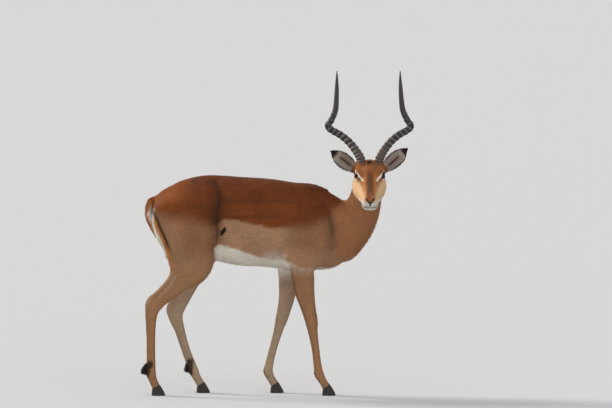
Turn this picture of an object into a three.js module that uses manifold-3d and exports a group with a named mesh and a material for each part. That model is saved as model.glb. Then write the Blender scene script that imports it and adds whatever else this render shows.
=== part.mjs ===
// Impala ram, life size, standing in a slow walk with its head turned to its right.
// Millimetres, +Z up. The body points to +X, the face to -Y, and the right side is at -Y.
// The origin is on the floor, below the middle of the model.
//
// The flesh is one smooth shape: tapering tubes laid along the trunk, neck, legs and head
// and blended where they meet. It is parted by thin flat cuts into the pieces named below.

import * as THREE from 'three';
import { mergeVertices } from 'three/addons/utils/BufferGeometryUtils.js';
import Module from 'manifold-3d';

const wasm = await Module();
wasm.setup();

// ---------- driving dimensions ----------

const GAP = 0.3; // clear space between neighbouring pieces
const MID_Y = 62; // the body's middle plane
const RIGHT = -1; // sign of Y on each side of the body
const LEFT = 1;

const EYE_CENTRE = [388, MID_Y - 125, 934]; // where the head's rows start, midway between the eyes
const HEAD_PITCH = 26; // degrees that the palate points down
const EYE_SPREAD = 46; // middle plane of the head to an eyeball's centre
const EYE_RISE = 8; // an eyeball's centre above that start
const EYE_RADIUS = 18;

const HORN_BASE_SPREAD = 37;
const HORN_LEAN = 0.018; // sideways lean of both horns to the right, a part of their rise
const EAR_HALF_WIDTH = 31;
const EAR_THICKNESS = 5;

const HOOF_HALF_WIDTH = 10;
const CLAW_GAP = 2.4; // between the two claws of a foot

// Sizes and counts of the facets.
const TRUNK_CELL = [44, 34, 39];
const HEAD_SECTORS = 18;
const NECK_SECTORS = 16;
const LIMB_SECTORS = 12;
const HORN_SECTORS = 9;
const HORN_RINGS_A_ROW = 2;

// ---------- the forms ----------
// Rows are [x, y, z, half width, half depth, taper]. The y of a body row is measured from
// the middle plane. A taper above 0 makes a section narrower towards its upper or front edge.

const TRUNK = [
  [-537, 0, 757, 12, 32, 0],
  [-530, 0, 757, 34, 56, 0.02],
  [-517, 0, 757, 50, 84, 0.04],
  [-497, 0, 757, 63, 109, 0.07],
  [-471, 0, 757, 79, 126, 0.1],
  [-444, 0, 757, 95, 139, 0.13],
  [-400, 0, 757, 110, 160, 0.18],
  [-320, 0, 755, 116, 180, 0.15],
  [-235, 0, 750, 119, 184, 0.08],
  [-150, 0, 738, 123, 190, 0.04],
  [-50, 0, 732, 124, 189, 0.05],
  [50, 0, 718, 116, 188, 0.16],
  [125, 0, 708, 104, 191, 0.28],
  [185, 0, 693, 92, 170, 0.24],
  [240, 0, 681, 78, 144, 0.1],
  [290, 0, 676, 62, 104, 0],
];

const NECK = [
  [190, 0, 702, 86, 150, 0.2],
  [262, 0, 714, 80, 133, 0.15],
  [315, -4, 742, 73, 113, 0.12],
  [349, -12, 778, 68, 90, 0.1],
  [369, -24, 826, 66, 78, 0.05],
  [381, -38, 880, 62, 68, 0],
  [386, -50, 935, 53, 56, 0],
];

const HINDLEG = {
  right: [
    [-398, 50, 805, 44, 112, 0],
    [-388, 62, 715, 54, 138, -0.1],
    [-376, 70, 632, 53, 112, -0.1],
    [-374, 73, 572, 47, 104, 0],
    [-393, 73, 523, 40, 83, 0.1],
    [-423, 71, 485, 33, 50, 0.1],
    [-456, 69, 450, 27, 42, 0],
    [-494, 66, 418, 22, 36, 0],
    [-524, 63, 388, 21, 36, 0],
    [-536, 62, 350, 20.5, 27, 0],
    [-539, 61, 300, 18, 21.5, 0],
    [-539, 61, 245, 16.5, 19, 0],
    [-539, 61, 185, 16, 18.5, 0],
    [-539, 61, 135, 17, 19.5, 0],
    [-540, 61, 98, 20, 22, 0],
    [-531, 61, 66, 17, 18, 0],
    [-518, 61, 36, 18, 18, 0],
  ],
  left: [
    [-385, 50, 805, 44, 118, 0],
    [-368, 62, 715, 54, 142, -0.1],
    [-356, 70, 632, 53, 112, -0.1],
    [-354, 74, 572, 47, 84, 0],
    [-364, 74, 528, 40, 70, 0.1],
    [-382, 72, 486, 33, 53, 0.1],
    [-398, 70, 440, 27, 41, 0],
    [-418, 67, 396, 22, 37, 0],
    [-438, 65, 356, 21, 37, 0],
    [-436, 63, 318, 20.5, 29, 0],
    [-422, 62, 275, 18, 22.5, 0],
    [-409, 61, 230, 16.5, 19.5, 0],
    [-393, 61, 180, 16, 18.5, 0],
    [-377, 61, 135, 17, 19.5, 0],
    [-364, 61, 98, 20, 22, 0],
    [-348, 61, 66, 17, 18, 0],
    [-331, 61, 36, 18, 18, 0],
  ],
};

const SHOULDER = {
  right: [
    [118, 36, 862, 18, 34, 0],
    [136, 62, 795, 26, 62, 0],
    [164, 76, 715, 32, 76, 0],
    [186, 80, 650, 34, 58, 0],
  ],
  left: [
    [112, 36, 862, 18, 34, 0],
    [124, 62, 795, 26, 62, 0],
    [148, 76, 715, 32, 76, 0],
    [168, 80, 650, 34, 58, 0],
  ],
};

const FORELEG = {
  right: [
    [182, 74, 668, 34, 52, 0],
    [140, 80, 608, 38, 60, 0],
    [106, 80, 548, 37, 54, 0],
    [109, 76, 490, 33, 47, 0],
    [114, 72, 440, 29, 42, 0.1],
    [129, 68, 375, 24, 32, 0.1],
    [142, 66, 315, 22, 26, 0],
    [150, 64, 262, 18, 20, 0],
    [160, 62, 200, 15, 16.5, 0],
    [168, 60, 130, 16, 17.5, 0],
    [174, 59, 92, 19, 21, 0],
    [189, 58, 63, 17, 17.5, 0],
    [206, 58, 36, 18, 18, 0],
  ],
  left: [
    [160, 74, 668, 34, 52, 0],
    [100, 80, 610, 38, 62, 0],
    [56, 80, 552, 37, 56, 0],
    [47, 76, 492, 33, 46, 0],
    [42, 72, 440, 28, 38, 0.1],
    [32, 68, 380, 24, 31, 0.1],
    [15, 66, 318, 22, 25, 0],
    [1, 64, 265, 18, 19.5, 0],
    [-18, 62, 200, 15, 16.5, 0],
    [-36, 60, 130, 16, 17.5, 0],
    [-43, 59, 92, 19, 21, 0],
    [-31, 58, 63, 17, 17.5, 0],
    [-15, 58, 36, 18, 18, 0],
  ],
};

const TAIL = [
  [-502, 0, 835, 18, 18, 0],
  [-526, 0, 829, 17, 15, 0],
  [-546, 0, 804, 16, 12, 0],
  [-552, 0, 770, 17, 9.5, 0],
  [-545, 0, 738, 17, 8.5, 0],
  [-533, 0, 708, 15, 7, 0],
  [-523, 0, 684, 9, 5, 0],
];

const GLAND_TUFT = {
  right: [
    [-553, 61, 138, 9, 9, 0],
    [-562, 61, 116, 13, 15, 0],
    [-570, 61, 95, 7, 9, 0],
  ],
  left: [
    [-384, 61, 136, 9, 9, 0],
    [-385, 61, 114, 13, 15, 0],
    [-388, 61, 92, 7, 9, 0],
  ],
};

// Head rows are [along the palate, across, above the eyes, half width, half height, taper].
const SKULL = [
  [-92, 0, -16, 42, 38, 0],
  [-62, 0, -20, 56, 64, 0.05],
  [-28, 0, -29, 64, 74, 0.1],
  [5, 0, -34, 63, 70, 0.1],
  [40, 0, -39, 52, 57, 0.15],
  [75, 0, -44, 41, 45, 0.25],
  [105, 0, -48, 37, 38, 0.2],
  [130, 0, -51, 35, 34, 0.15],
  [146, 0, -51, 30, 27, 0.1],
];
const BROW = [
  [-46, 38, 28, 16, 16, 0],
  [-16, 42, 19, 15, 13, 0],
  [12, 41, 12, 13, 11, 0],
];
const ORBIT = [
  [-16, 40, 6, 21, 21, 0],
  [14, 37, 3, 21, 20, 0],
];
const CHEEK = [
  [-20, 40, -58, 27, 34, 0],
  [22, 38, -62, 25, 30, 0],
  [60, 28, -64, 19, 23, 0],
];
const LIP = [
  [118, 17, -53, 15, 16, 0],
  [142, 14, -53, 15, 15, 0],
];
const NOSTRIL = [
  [126, 13, -30, 13, 13, 0],
  [150, 13, -32, 13, 12, 0],
];
const HORN_FOOT = [
  [-40, HORN_BASE_SPREAD - 2, 22, 22, 21, 0],
  [-46, HORN_BASE_SPREAD, 31, 21.5, 21, 0],
];
const EAR_FOOT = [
  [-52, 45, -4, 18, 20, 0],
  [-55, 60, 5, 13, 15, 0],
];

// Horn rows are [across from the horns' middle plane, back from the eyes, height above them, radius].
const HORN_PATH = [
  [31, 18, 26, 20.5],
  [34, 22, 45, 20.5],
  [41, 28, 76, 19.5],
  [61, 46, 110, 18.4],
  [92, 74, 147, 17.4],
  [127, 98, 174, 16.8],
  [159, 112, 191, 16.2],
  [176, 117, 209, 15.6],
  [162, 121, 233, 14.5],
  [144, 123, 274, 12.6],
  [138, 120, 322, 10.8],
  [135, 110, 384, 8],
  [134, 92, 444, 2],
];
const HORN_CENTRE = 4; // from the middle of the eyes to the middle of the horns' path

const COATS = {
  back: 0x8a4a22,
  flank: 0xb98457,
  face: 0xa9683c,
  tail: 0x7c4a2c,
  gland: 0x15110f,
  horn: 0x3b332e,
  hoof: 0x1c1815,
  eye: 0x0d0a09,
};

// ---------- vectors and curves ----------

const add = (a, b) => a.map((v, i) => v + b[i]);
const sub = (a, b) => a.map((v, i) => v - b[i]);
const scale = (a, k) => a.map((v) => v * k);
const dot = (a, b) => a[0] * b[0] + a[1] * b[1] + a[2] * b[2];
const mix = (a, b, t) => a.map((v, i) => v + (b[i] - v) * t);
const unit = (a) => scale(a, 1 / Math.hypot(...a));
const cross = (a, b) => [
  a[1] * b[2] - a[2] * b[1],
  a[2] * b[0] - a[0] * b[2],
  a[0] * b[1] - a[1] * b[0],
];
const radians = THREE.MathUtils.degToRad;

/** Point t of the Catmull-Rom curve through rows of numbers; one unit of t is one row. */
function alongRows(rows, t) {
  const last = rows.length - 1;
  const i = Math.min(Math.max(Math.floor(t), 0), last - 1);
  const s = t - i;
  const b = rows[i];
  const c = rows[i + 1];
  const a = i > 0 ? rows[i - 1] : sub(scale(b, 2), c);
  const d = i < last - 1 ? rows[i + 2] : sub(scale(c, 2), b);
  const curve = (k) => {
    const bend = (2 * a[k] - 5 * b[k] + 4 * c[k] - d[k]) * s * s;
    const twist = (3 * (b[k] - c[k]) + d[k] - a[k]) * s * s * s;
    return b[k] + 0.5 * ((c[k] - a[k]) * s + bend + twist);
  };
  return b.map((_, k) => curve(k));
}

function smoothMin(a, b, reach) {
  const h = Math.max(reach - Math.abs(a - b), 0) / reach;
  return Math.min(a, b) - (h * h * reach) / 4;
}

// ---------- tubes and the flesh ----------

/** A tube of oval sections along a curve. `side` is the direction of the half width at its
 *  start and `sideEnd` at its end; the half depth is square to both side and curve. */
class Tube {
  constructor(rows, { side = [0, 1, 0], sideEnd = side, power = 2, steps = 4 } = {}) {
    this.power = power;
    this.steps = steps;
    this.spans = rows.length - 1;
    const count = this.spans * steps;
    this.knots = Array.from({ length: count + 1 }, (_, i) => {
      const row = alongRows(rows, i / steps);
      return { c: row.slice(0, 3), w: row[3], h: row[4], taper: row[5] };
    });
    this.knots.forEach((knot, i) => {
      const next = this.knots[Math.min(i + 1, count)].c;
      const before = this.knots[Math.max(i - 1, 0)].c;
      knot.along = unit(sub(next, before));
      const turned = mix(side, sideEnd, i / count);
      knot.side = unit(sub(turned, scale(knot.along, dot(turned, knot.along))));
      knot.up = cross(knot.along, knot.side);
    });
    this.segments = this.knots.slice(1).map((knot, i) => {
      const axis = sub(knot.c, this.knots[i].c);
      return { from: this.knots[i], to: knot, axis, length2: dot(axis, axis) };
    });
    const reach = Math.max(...this.knots.map((k) => Math.max(k.w, k.h)));
    this.low = [0, 1, 2].map((a) => Math.min(...this.knots.map((k) => k.c[a])) - reach);
    this.high = [0, 1, 2].map((a) => Math.max(...this.knots.map((k) => k.c[a])) + reach);
  }

  /** Section at t, where one unit of t is one row. */
  section(t) {
    const place = Math.min(Math.max(t, 0), this.spans) * this.steps;
    const i = Math.min(Math.floor(place), this.segments.length - 1);
    return blendKnots(this.segments[i], place - i);
  }

  /** How far p lies outside the tube, less than 0 inside. */
  at(p) {
    let best = null;
    let bestT = 0;
    let bestD = Infinity;
    for (const segment of this.segments) {
      const q = sub(p, segment.from.c);
      const t = Math.min(Math.max(dot(q, segment.axis) / segment.length2, 0), 1);
      const rest = sub(q, scale(segment.axis, t));
      const d = dot(rest, rest);
      if (d < bestD) {
        bestD = d;
        best = segment;
        bestT = t;
      }
    }
    return this.outside(p, blendKnots(best, bestT));
  }

  outside(p, knot) {
    const q = sub(p, knot.c);
    const far = Math.hypot(...q);
    const u = Math.abs(dot(q, knot.side));
    const v = dot(q, knot.up);
    const s = Math.sqrt(Math.max(far * far - u * u - v * v, 0));
    const lean = Math.min(Math.max(v / knot.h, -1), 1);
    const w = knot.w * (1 - knot.taper * lean);
    const tip = Math.min(knot.w, knot.h);
    const n = this.power;
    const sum = (u / w) ** n + (Math.abs(v) / knot.h) ** n + (s / tip) ** n;
    const r = Math.max(sum ** (1 / n), 0.02);
    return far * (1 - 1 / r) - (far < 1e-6 ? tip : 0);
  }
}

function blendKnots({ from, to }, t) {
  const along = unit(mix(from.along, to.along, t));
  const turned = mix(from.side, to.side, t);
  const side = unit(sub(turned, scale(along, dot(turned, along))));
  return {
    c: mix(from.c, to.c, t),
    w: from.w + (to.w - from.w) * t,
    h: from.h + (to.h - from.h) * t,
    taper: from.taper + (to.taper - from.taper) * t,
    along,
    side,
    up: cross(along, side),
  };
}

/** Smooth union of tubes, each with the reach of its blend. */
class Flesh {
  constructor(parts) {
    this.parts = parts;
  }

  at(p) {
    let value = 400;
    for (const { tube, reach } of this.parts) {
      const away = Math.max(...[0, 1, 2].map((a) => Math.max(tube.low[a] - p[a], p[a] - tube.high[a])));
      if (away > value + reach) continue;
      value = smoothMin(value, tube.at(p), reach);
    }
    return value;
  }
}

const pitch = radians(HEAD_PITCH);
const HEAD_AXES = {
  along: [0, -Math.cos(pitch), -Math.sin(pitch)],
  across: [1, 0, 0],
  above: [0, -Math.sin(pitch), Math.cos(pitch)],
};

function headPoint([along, across, above]) {
  const parts = [
    scale(HEAD_AXES.along, along),
    scale(HEAD_AXES.across, across),
    scale(HEAD_AXES.above, above),
  ];
  return parts.reduce(add, EYE_CENTRE);
}

const bodyRows = (rows, side) => rows.map(([x, y, z, ...rest]) => [x, MID_Y + side * y, z, ...rest]);
const headRows = (rows, side) =>
  rows.map(([f, a, n, ...rest]) => [...headPoint([f, side * a, n]), ...rest]);
const ACROSS = { side: [1, 0, 0] };

const tubes = {
  trunk: new Tube(bodyRows(TRUNK, 1), { power: 2.2 }),
  neck: new Tube(bodyRows(NECK, 1), { sideEnd: [1, 0.15, 0] }),
  skull: new Tube(headRows(SKULL, 1), { ...ACROSS, power: 2.3 }),
  tailRoot: new Tube(bodyRows(TAIL.slice(0, 3), 1)),
  tail: new Tube(bodyRows(TAIL, 1)),
};
for (const [name, side] of [['right', RIGHT], ['left', LEFT]]) {
  tubes[name] = {
    hindleg: new Tube(bodyRows(HINDLEG[name], side)),
    shoulder: new Tube(bodyRows(SHOULDER[name], side)),
    foreleg: new Tube(bodyRows(FORELEG[name], side)),
  };
}

const torso = new Flesh([
  { tube: tubes.trunk, reach: 1 },
  { tube: tubes.neck, reach: 46 },
  { tube: tubes.tailRoot, reach: 14 },
  ...['right', 'left'].flatMap((name) => [
    { tube: tubes[name].hindleg, reach: 40 },
    { tube: tubes[name].shoulder, reach: 30 },
    { tube: tubes[name].foreleg, reach: 34 },
  ]),
]);

// The head's -X side is the animal's right.
const headForms = [{ tube: tubes.skull, reach: 38 }];
for (const side of [RIGHT, LEFT]) {
  const formsBySide = [
    [BROW, 14],
    [ORBIT, 12],
    [CHEEK, 20],
    [LIP, 10],
    [NOSTRIL, 8],
    [HORN_FOOT, 14],
    [EAR_FOOT, 14],
  ];
  for (const [rows, reach] of formsBySide) {
    headForms.push({ tube: new Tube(headRows(rows, side), ACROSS), reach });
  }
}
const headFlesh = new Flesh(headForms);
const body = new Flesh([...torso.parts, ...headForms]);

// ---------- solids ----------

function solidOf(geometry) {
  const bare = geometry.clone();
  bare.deleteAttribute('normal');
  bare.deleteAttribute('uv');
  const merged = mergeVertices(bare, 1e-4);
  return new wasm.Manifold(
    new wasm.Mesh({
      numProp: 3,
      vertProperties: new Float32Array(merged.attributes.position.array),
      triVerts: new Uint32Array(merged.index.array),
    }),
  );
}

function solidFrom(points, faces) {
  return new wasm.Manifold(
    new wasm.Mesh({
      numProp: 3,
      vertProperties: new Float32Array(points.flat()),
      triVerts: new Uint32Array(faces.flat()),
    }),
  );
}

function geometryOf(solid) {
  const mesh = solid.getMesh();
  const geometry = new THREE.BufferGeometry();
  geometry.setAttribute('position', new THREE.BufferAttribute(new Float32Array(mesh.vertProperties), 3));
  geometry.setIndex(new THREE.BufferAttribute(new Uint32Array(mesh.triVerts), 1));
  geometry.computeVertexNormals();
  return geometry;
}

/** Two triangles of a quad, split along its shorter diagonal. */
function splitQuad(points, a, b, c, d) {
  const ac = Math.hypot(...sub(points[a], points[c]));
  const bd = Math.hypot(...sub(points[b], points[d]));
  return ac < bd ? [[a, b, c], [a, c, d]] : [[a, b, d], [b, c, d]];
}

function volumeOf(points, faces) {
  const slice = ([a, b, c]) => dot(points[a], cross(points[b], points[c])) / 6;
  return faces.reduce((sum, face) => sum + slice(face), 0);
}

/** Closed surface through rings of equal count, with a fan on both ends. */
function loft(rings, firstTip, lastTip) {
  const sectors = rings[0].length;
  const points = [...rings.flat(), firstTip, lastTip];
  const faces = [];
  for (let r = 0; r < rings.length - 1; r++) {
    for (let s = 0; s < sectors; s++) {
      const a = r * sectors + s;
      const b = r * sectors + ((s + 1) % sectors);
      faces.push(...splitQuad(points, a, b, b + sectors, a + sectors));
    }
  }
  const first = points.length - 2;
  const lastRing = (rings.length - 1) * sectors;
  for (let s = 0; s < sectors; s++) {
    const next = (s + 1) % sectors;
    faces.push([first, next, s]);
    faces.push([first + 1, lastRing + s, lastRing + next]);
  }
  if (volumeOf(points, faces) < 0) faces.forEach((face) => face.reverse());
  return solidFrom(points, faces);
}

/** The skin point that a ray from `from` along `way` meets first. */
function skinPoint(flesh, from, way, start, grow) {
  const stride = 5;
  let inside = start;
  let outside = start;
  while (flesh.at(add(from, scale(way, outside))) < grow && outside < 260) {
    inside = outside;
    outside += stride;
  }
  for (let i = 0; i < 12; i++) {
    const middle = (inside + outside) / 2;
    if (flesh.at(add(from, scale(way, middle))) < grow) inside = middle;
    else outside = middle;
  }
  return add(from, scale(way, (inside + outside) / 2));
}

/** A ring of skin points around a section; `lift` turns its rays from square to the curve
 *  (0) towards the curve's end (quarter turn). */
function skinRing(flesh, knot, centre, sectors, lift, grow) {
  const start = Math.min(knot.w, knot.h) * 0.3;
  return Array.from({ length: sectors }, (_, s) => {
    const angle = (s / sectors) * 2 * Math.PI;
    const out = add(scale(knot.side, Math.cos(angle)), scale(knot.up, Math.sin(angle)));
    const way = add(scale(out, Math.cos(lift)), scale(knot.along, Math.sin(lift)));
    return skinPoint(flesh, centre, way, start, grow);
  });
}

/** A length of flesh around a tube's curve from row t0 to row t1. Each end is a flat cut square
 *  to the curve, or a dome of `domes` rings. */
function sleeve(flesh, tube, t0, t1, { rings, sectors, domes = [0, 0], grow = 0 }) {
  const shapes = Array.from({ length: rings }, (_, r) => {
    const knot = tube.section(t0 + ((t1 - t0) * r) / (rings - 1));
    const cutStart = r === 0 && !domes[0] ? GAP / 2 : 0;
    const cutEnd = r === rings - 1 && !domes[1] ? -GAP / 2 : 0;
    const centre = add(knot.c, scale(knot.along, cutStart + cutEnd));
    return { centre, ring: skinRing(flesh, knot, centre, sectors, 0, grow) };
  });
  const loops = shapes.map(({ ring }) => ring);
  const tips = [shapes[0].centre, shapes[rings - 1].centre];
  [t0, t1].forEach((t, end) => {
    const knot = tube.section(t);
    const sign = end ? 1 : -1;
    for (let d = 1; d <= domes[end]; d++) {
      const lift = (sign * d * Math.PI) / 2 / (domes[end] + 1);
      const ring = skinRing(flesh, knot, knot.c, sectors, lift, grow);
      if (end) loops.push(ring);
      else loops.unshift(ring);
    }
    const start = Math.min(knot.w, knot.h) * 0.3;
    if (domes[end]) tips[end] = skinPoint(flesh, knot.c, scale(knot.along, sign), start, grow);
  });
  return loft(loops, ...tips);
}

/** Surface nets: one point in each cell that the skin crosses, drawn onto the skin. */
function contour(flesh, low, high, cell) {
  const size = [0, 1, 2].map((a) => Math.ceil((high[a] - low[a]) / cell[a]) + 1);
  const place = (g) => g.map((v, a) => low[a] + v * cell[a]);
  const key = ([i, j, k]) => (k * size[1] + j) * size[0] + i;
  const value = new Float64Array(size[0] * size[1] * size[2]);
  const nodes = [];
  for (let k = 0; k < size[2]; k++) {
    for (let j = 0; j < size[1]; j++) {
      for (let i = 0; i < size[0]; i++) nodes.push([i, j, k]);
    }
  }
  for (const g of nodes) {
    const edge = g.some((v, a) => v === 0 || v === size[a] - 1);
    const v = flesh.at(place(g));
    value[key(g)] = edge ? Math.max(v, 1) : v;
  }
  while (fillDiagonals(nodes, size, value, key));
  const points = [];
  const pointOf = new Map();
  for (const g of nodes) {
    if (g.some((v, a) => v === size[a] - 1)) continue;
    const point = cellPoint(g, value, key, place);
    if (!point) continue;
    pointOf.set(key(g), points.length);
    points.push(drawToSkin(flesh, point, Math.min(...cell)));
  }
  const reach = Math.min(...cell);
  let faces = netFaces(nodes, size, value, key, pointOf, points);
  let evened = points;
  for (let pass = 0; pass < 2; pass++) evened = relax(flesh, evened, faces, reach);
  faces = netFaces(nodes, size, value, key, pointOf, evened);
  return solidFrom(evened, faces);
}

/** Fills a corner wherever a cell's face is inside at two opposite corners only, because the
 *  net would pinch there. Returns how many it filled. */
function fillDiagonals(nodes, size, value, key) {
  let filled = 0;
  for (const g of nodes) {
    for (let a = 0; a < 3; a++) {
      const u = [0, 0, 0];
      const v = [0, 0, 0];
      u[(a + 1) % 3] = 1;
      v[(a + 2) % 3] = 1;
      const far = add(add(g, u), v);
      if (far.some((n, x) => n > size[x] - 1)) continue;
      const keys = [g, add(g, u), far, add(g, v)].map(key);
      const inside = keys.map((k) => value[k] < 0);
      if (inside[0] !== inside[2] || inside[1] !== inside[3] || inside[0] === inside[1]) continue;
      value[keys[inside[0] ? 1 : 0]] = -0.01;
      filled++;
    }
  }
  return filled;
}

const CORNERS = Array.from({ length: 8 }, (_, c) => [c & 1, (c >> 1) & 1, (c >> 2) & 1]);
const EDGES = CORNERS.flatMap((a, i) =>
  CORNERS.map((b, j) => [a, b, i, j]).filter(([p, q, m, n]) => m < n && p.reduce((t, v, x) => t + Math.abs(v - q[x]), 0) === 1),
);

function cellPoint(g, value, key, place) {
  let sum = [0, 0, 0];
  let crossings = 0;
  for (const [a, b] of EDGES) {
    const va = value[key(add(g, a))];
    const vb = value[key(add(g, b))];
    if (va < 0 === vb < 0) continue;
    sum = add(sum, add(g, mix(a, b, va / (va - vb))));
    crossings++;
  }
  return crossings ? place(scale(sum, 1 / crossings)) : null;
}

function drawToSkin(flesh, point, cell) {
  const probe = 0.5;
  let p = point;
  for (let pass = 0; pass < 3; pass++) {
    const v = flesh.at(p);
    if (Math.abs(v) > cell) return point;
    const slope = [0, 1, 2].map((a) => {
      const step = [0, 0, 0];
      step[a] = probe;
      return (flesh.at(add(p, step)) - flesh.at(sub(p, step))) / (2 * probe);
    });
    p = sub(p, scale(slope, v / Math.max(dot(slope, slope), 0.2)));
  }
  return Math.hypot(...sub(p, point)) < cell ? p : point;
}

/** Evens out the net: each point moves to the middle of its neighbours, then to the skin. */
function relax(flesh, points, faces, cell) {
  const sums = points.map(() => [0, 0, 0, 0]);
  for (const face of faces) {
    face.forEach((a, i) => {
      const next = points[face[(i + 1) % 3]];
      sums[a] = add(sums[a], [...next, 1]);
    });
  }
  return points.map((point, i) => {
    const middle = scale(sums[i].slice(0, 3), 1 / sums[i][3]);
    return Math.abs(flesh.at(point)) > 1 ? point : drawToSkin(flesh, middle, cell);
  });
}

function netFaces(nodes, size, value, key, pointOf, points) {
  const faces = [];
  for (const g of nodes) {
    for (let a = 0; a < 3; a++) {
      if (g.some((v, x) => v === size[x] - 1 || (v === 0 && x !== a))) continue;
      const step = [0, 0, 0];
      step[a] = 1;
      const here = value[key(g)] < 0;
      if (here === value[key(add(g, step))] < 0) continue;
      const u = [0, 0, 0];
      const v = [0, 0, 0];
      u[(a + 1) % 3] = 1;
      v[(a + 2) % 3] = 1;
      const cells = [sub(sub(g, u), v), sub(g, v), g, sub(g, u)].map((c) => pointOf.get(key(c)));
      if (!here) cells.reverse();
      faces.push(...splitQuad(points, ...cells));
    }
  }
  return faces;
}

/** A box that clears away everything beyond a plane, as far as its size. */
function clearingBox(point, normal, [width, depth, height]) {
  const box = new THREE.BoxGeometry(width, depth, height);
  box.translate(0, 0, height / 2);
  const turn = new THREE.Quaternion();
  turn.setFromUnitVectors(new THREE.Vector3(0, 0, 1), new THREE.Vector3(...normal));
  box.applyQuaternion(turn);
  const start = add(point, scale(normal, -GAP / 2));
  box.translate(...start);
  return solidOf(box);
}

/** The two sides of a flat cut, with the gap between them; the first is where normal points. */
function cutApart(solid, point, normal) {
  const n = unit(normal);
  const offset = dot(point, n);
  return [solid.trimByPlane(n, offset + GAP / 2), solid.trimByPlane(scale(n, -1), -offset + GAP / 2)];
}

// ---------- trunk, thighs and shoulders ----------

// Rows of each tube where a free length starts and where it is parted further down.
const CUTS = {
  hindleg: { start: 4.6, hock: 9, fetlock: 13.4, coronet: 16 },
  foreleg: { start: 3.2, knee: 6, fetlock: 9.3, coronet: 12 },
  neck: { start: 1.7, middle: 3.1 },
  tail: 1,
};
const HEAD_CUT = { place: [-60, 0, -56], along: 0.438, above: 0.899 };
const MOUTH = { place: [148, 0, -62], droop: 3 }; // droop in degrees, towards the chin
const CROUP_CUT = { point: [-236, MID_Y, 700], normal: [-1, 0, 0.05] };
const CHEST_CUT = { point: [2, MID_Y, 700], normal: [1, 0, -0.08] };
const THIGH_PLANE = { out: 16, z: 585, slope: 66 };
const SHOULDER_PLANE = { out: 22, z: 520, slope: 68 };

const trunkBlock = contour(
  torso,
  [-610, MID_Y - 169, 440],
  [420, MID_Y + 169, 980],
  TRUNK_CELL,
);

function endPlane(tube, t) {
  const { c, along } = tube.section(t);
  return { point: c, normal: along };
}

function withoutLimbs(block) {
  const ends = [
    [endPlane(tubes.neck, CUTS.neck.start), [400, 400, 300]],
    ...['right', 'left'].flatMap((name) => [
      [endPlane(tubes[name].hindleg, CUTS.hindleg.start), [320, 130, 300]],
      [endPlane(tubes[name].foreleg, CUTS.foreleg.start), [200, 120, 200]],
    ]),
    [endPlane(tubes.tail, CUTS.tail), [60, 60, 200]],
  ];
  const boxes = ends.map(([{ point, normal }, size]) => clearingBox(point, normal, size));
  return boxes.reduce((solid, box) => solid.subtract(box), block);
}

const largest = (solid) => solid.decompose().sort((a, b) => b.volume() - a.volume())[0];

/** The outer mass of a limb, parted from the trunk by a plane that rises outwards. */
function partLimb(solid, side, { out, z, slope }) {
  const angle = radians(slope);
  const point = [0, MID_Y + side * out, z];
  const normal = [0, side * Math.sin(angle), -Math.cos(angle)];
  const [limb, rest] = cutApart(solid, point, normal);
  const own = limb.trimByPlane([0, side, 0], side * MID_Y + GAP / 2);
  return { limb: own, rest };
}

const [hind, front] = cutApart(withoutLimbs(trunkBlock), CROUP_CUT.point, CROUP_CUT.normal);
const [foreEnd, barrel] = cutApart(front, CHEST_CUT.point, CHEST_CUT.normal);
const rightThigh = partLimb(hind, RIGHT, THIGH_PLANE);
const leftThigh = partLimb(rightThigh.rest, LEFT, THIGH_PLANE);
const rightShoulder = partLimb(foreEnd, RIGHT, SHOULDER_PLANE);
const leftShoulder = partLimb(rightShoulder.rest, LEFT, SHOULDER_PLANE);

const tailFlesh = new Flesh([{ tube: tubes.tail, reach: 1 }]);
const tailPiece = (grow) =>
  sleeve(tailFlesh, tubes.tail, CUTS.tail, 6, { rings: 9, sectors: 10, domes: [0, 1], grow });

const pieces = [];
const addPiece = (name, solid, coat) => pieces.push({ name, solid, coat });

addPiece('croup', leftThigh.rest.subtract(tailPiece(GAP)), 'back');
addPiece('barrel', barrel, 'back');
addPiece('chest', leftShoulder.rest, 'back');
addPiece('thigh_right', rightThigh.limb, 'flank');
addPiece('thigh_left', leftThigh.limb, 'flank');
addPiece('shoulder_right', rightShoulder.limb, 'flank');
addPiece('shoulder_left', leftShoulder.limb, 'flank');

// ---------- free legs ----------

const SOLE = { toe: 41, heel: 18 }; // ahead of the middle of the ankle, and behind it
const CORONET = { front: 18, back: 17 };
const CLAW_RINGS = 3;
const CLAW_SECTORS = 10;

/** One claw: rings from the flat sole up to the cut of the ankle, flatter on its inner side. */
function claw(ankle, outer) {
  const top = add(ankle.c, scale(ankle.along, GAP / 2));
  const loops = Array.from({ length: CLAW_RINGS }, (_, r) => {
    const t = r / (CLAW_RINGS - 1);
    return Array.from({ length: CLAW_SECTORS }, (_, s) => {
      const angle = (s / CLAW_SECTORS) * 2 * Math.PI;
      const ahead = Math.cos(angle);
      const point = Math.max(ahead, 0) ** 2;
      const sole = ahead > 0 ? SOLE.toe : SOLE.heel;
      const coronet = ahead > 0 ? CORONET.front : CORONET.back;
      const width = HOOF_HALF_WIDTH * (1 - 0.45 * point * (1 - t)) * (1 - 0.08 * t);
      const across = outer * (CLAW_GAP / 2 + width * (1 + Math.sin(angle)));
      const low = [ankle.c[0] + ahead * sole, ankle.c[1] + across, 0];
      const high = add(add(top, scale(ankle.up, ahead * coronet)), [0, across, 0]);
      return mix(low, high, t ** 0.9);
    });
  });
  const middles = [loops[0], loops[CLAW_RINGS - 1]].map((ring) => scale(ring.reduce(add), 1 / ring.length));
  return loft(loops, ...middles);
}

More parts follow.
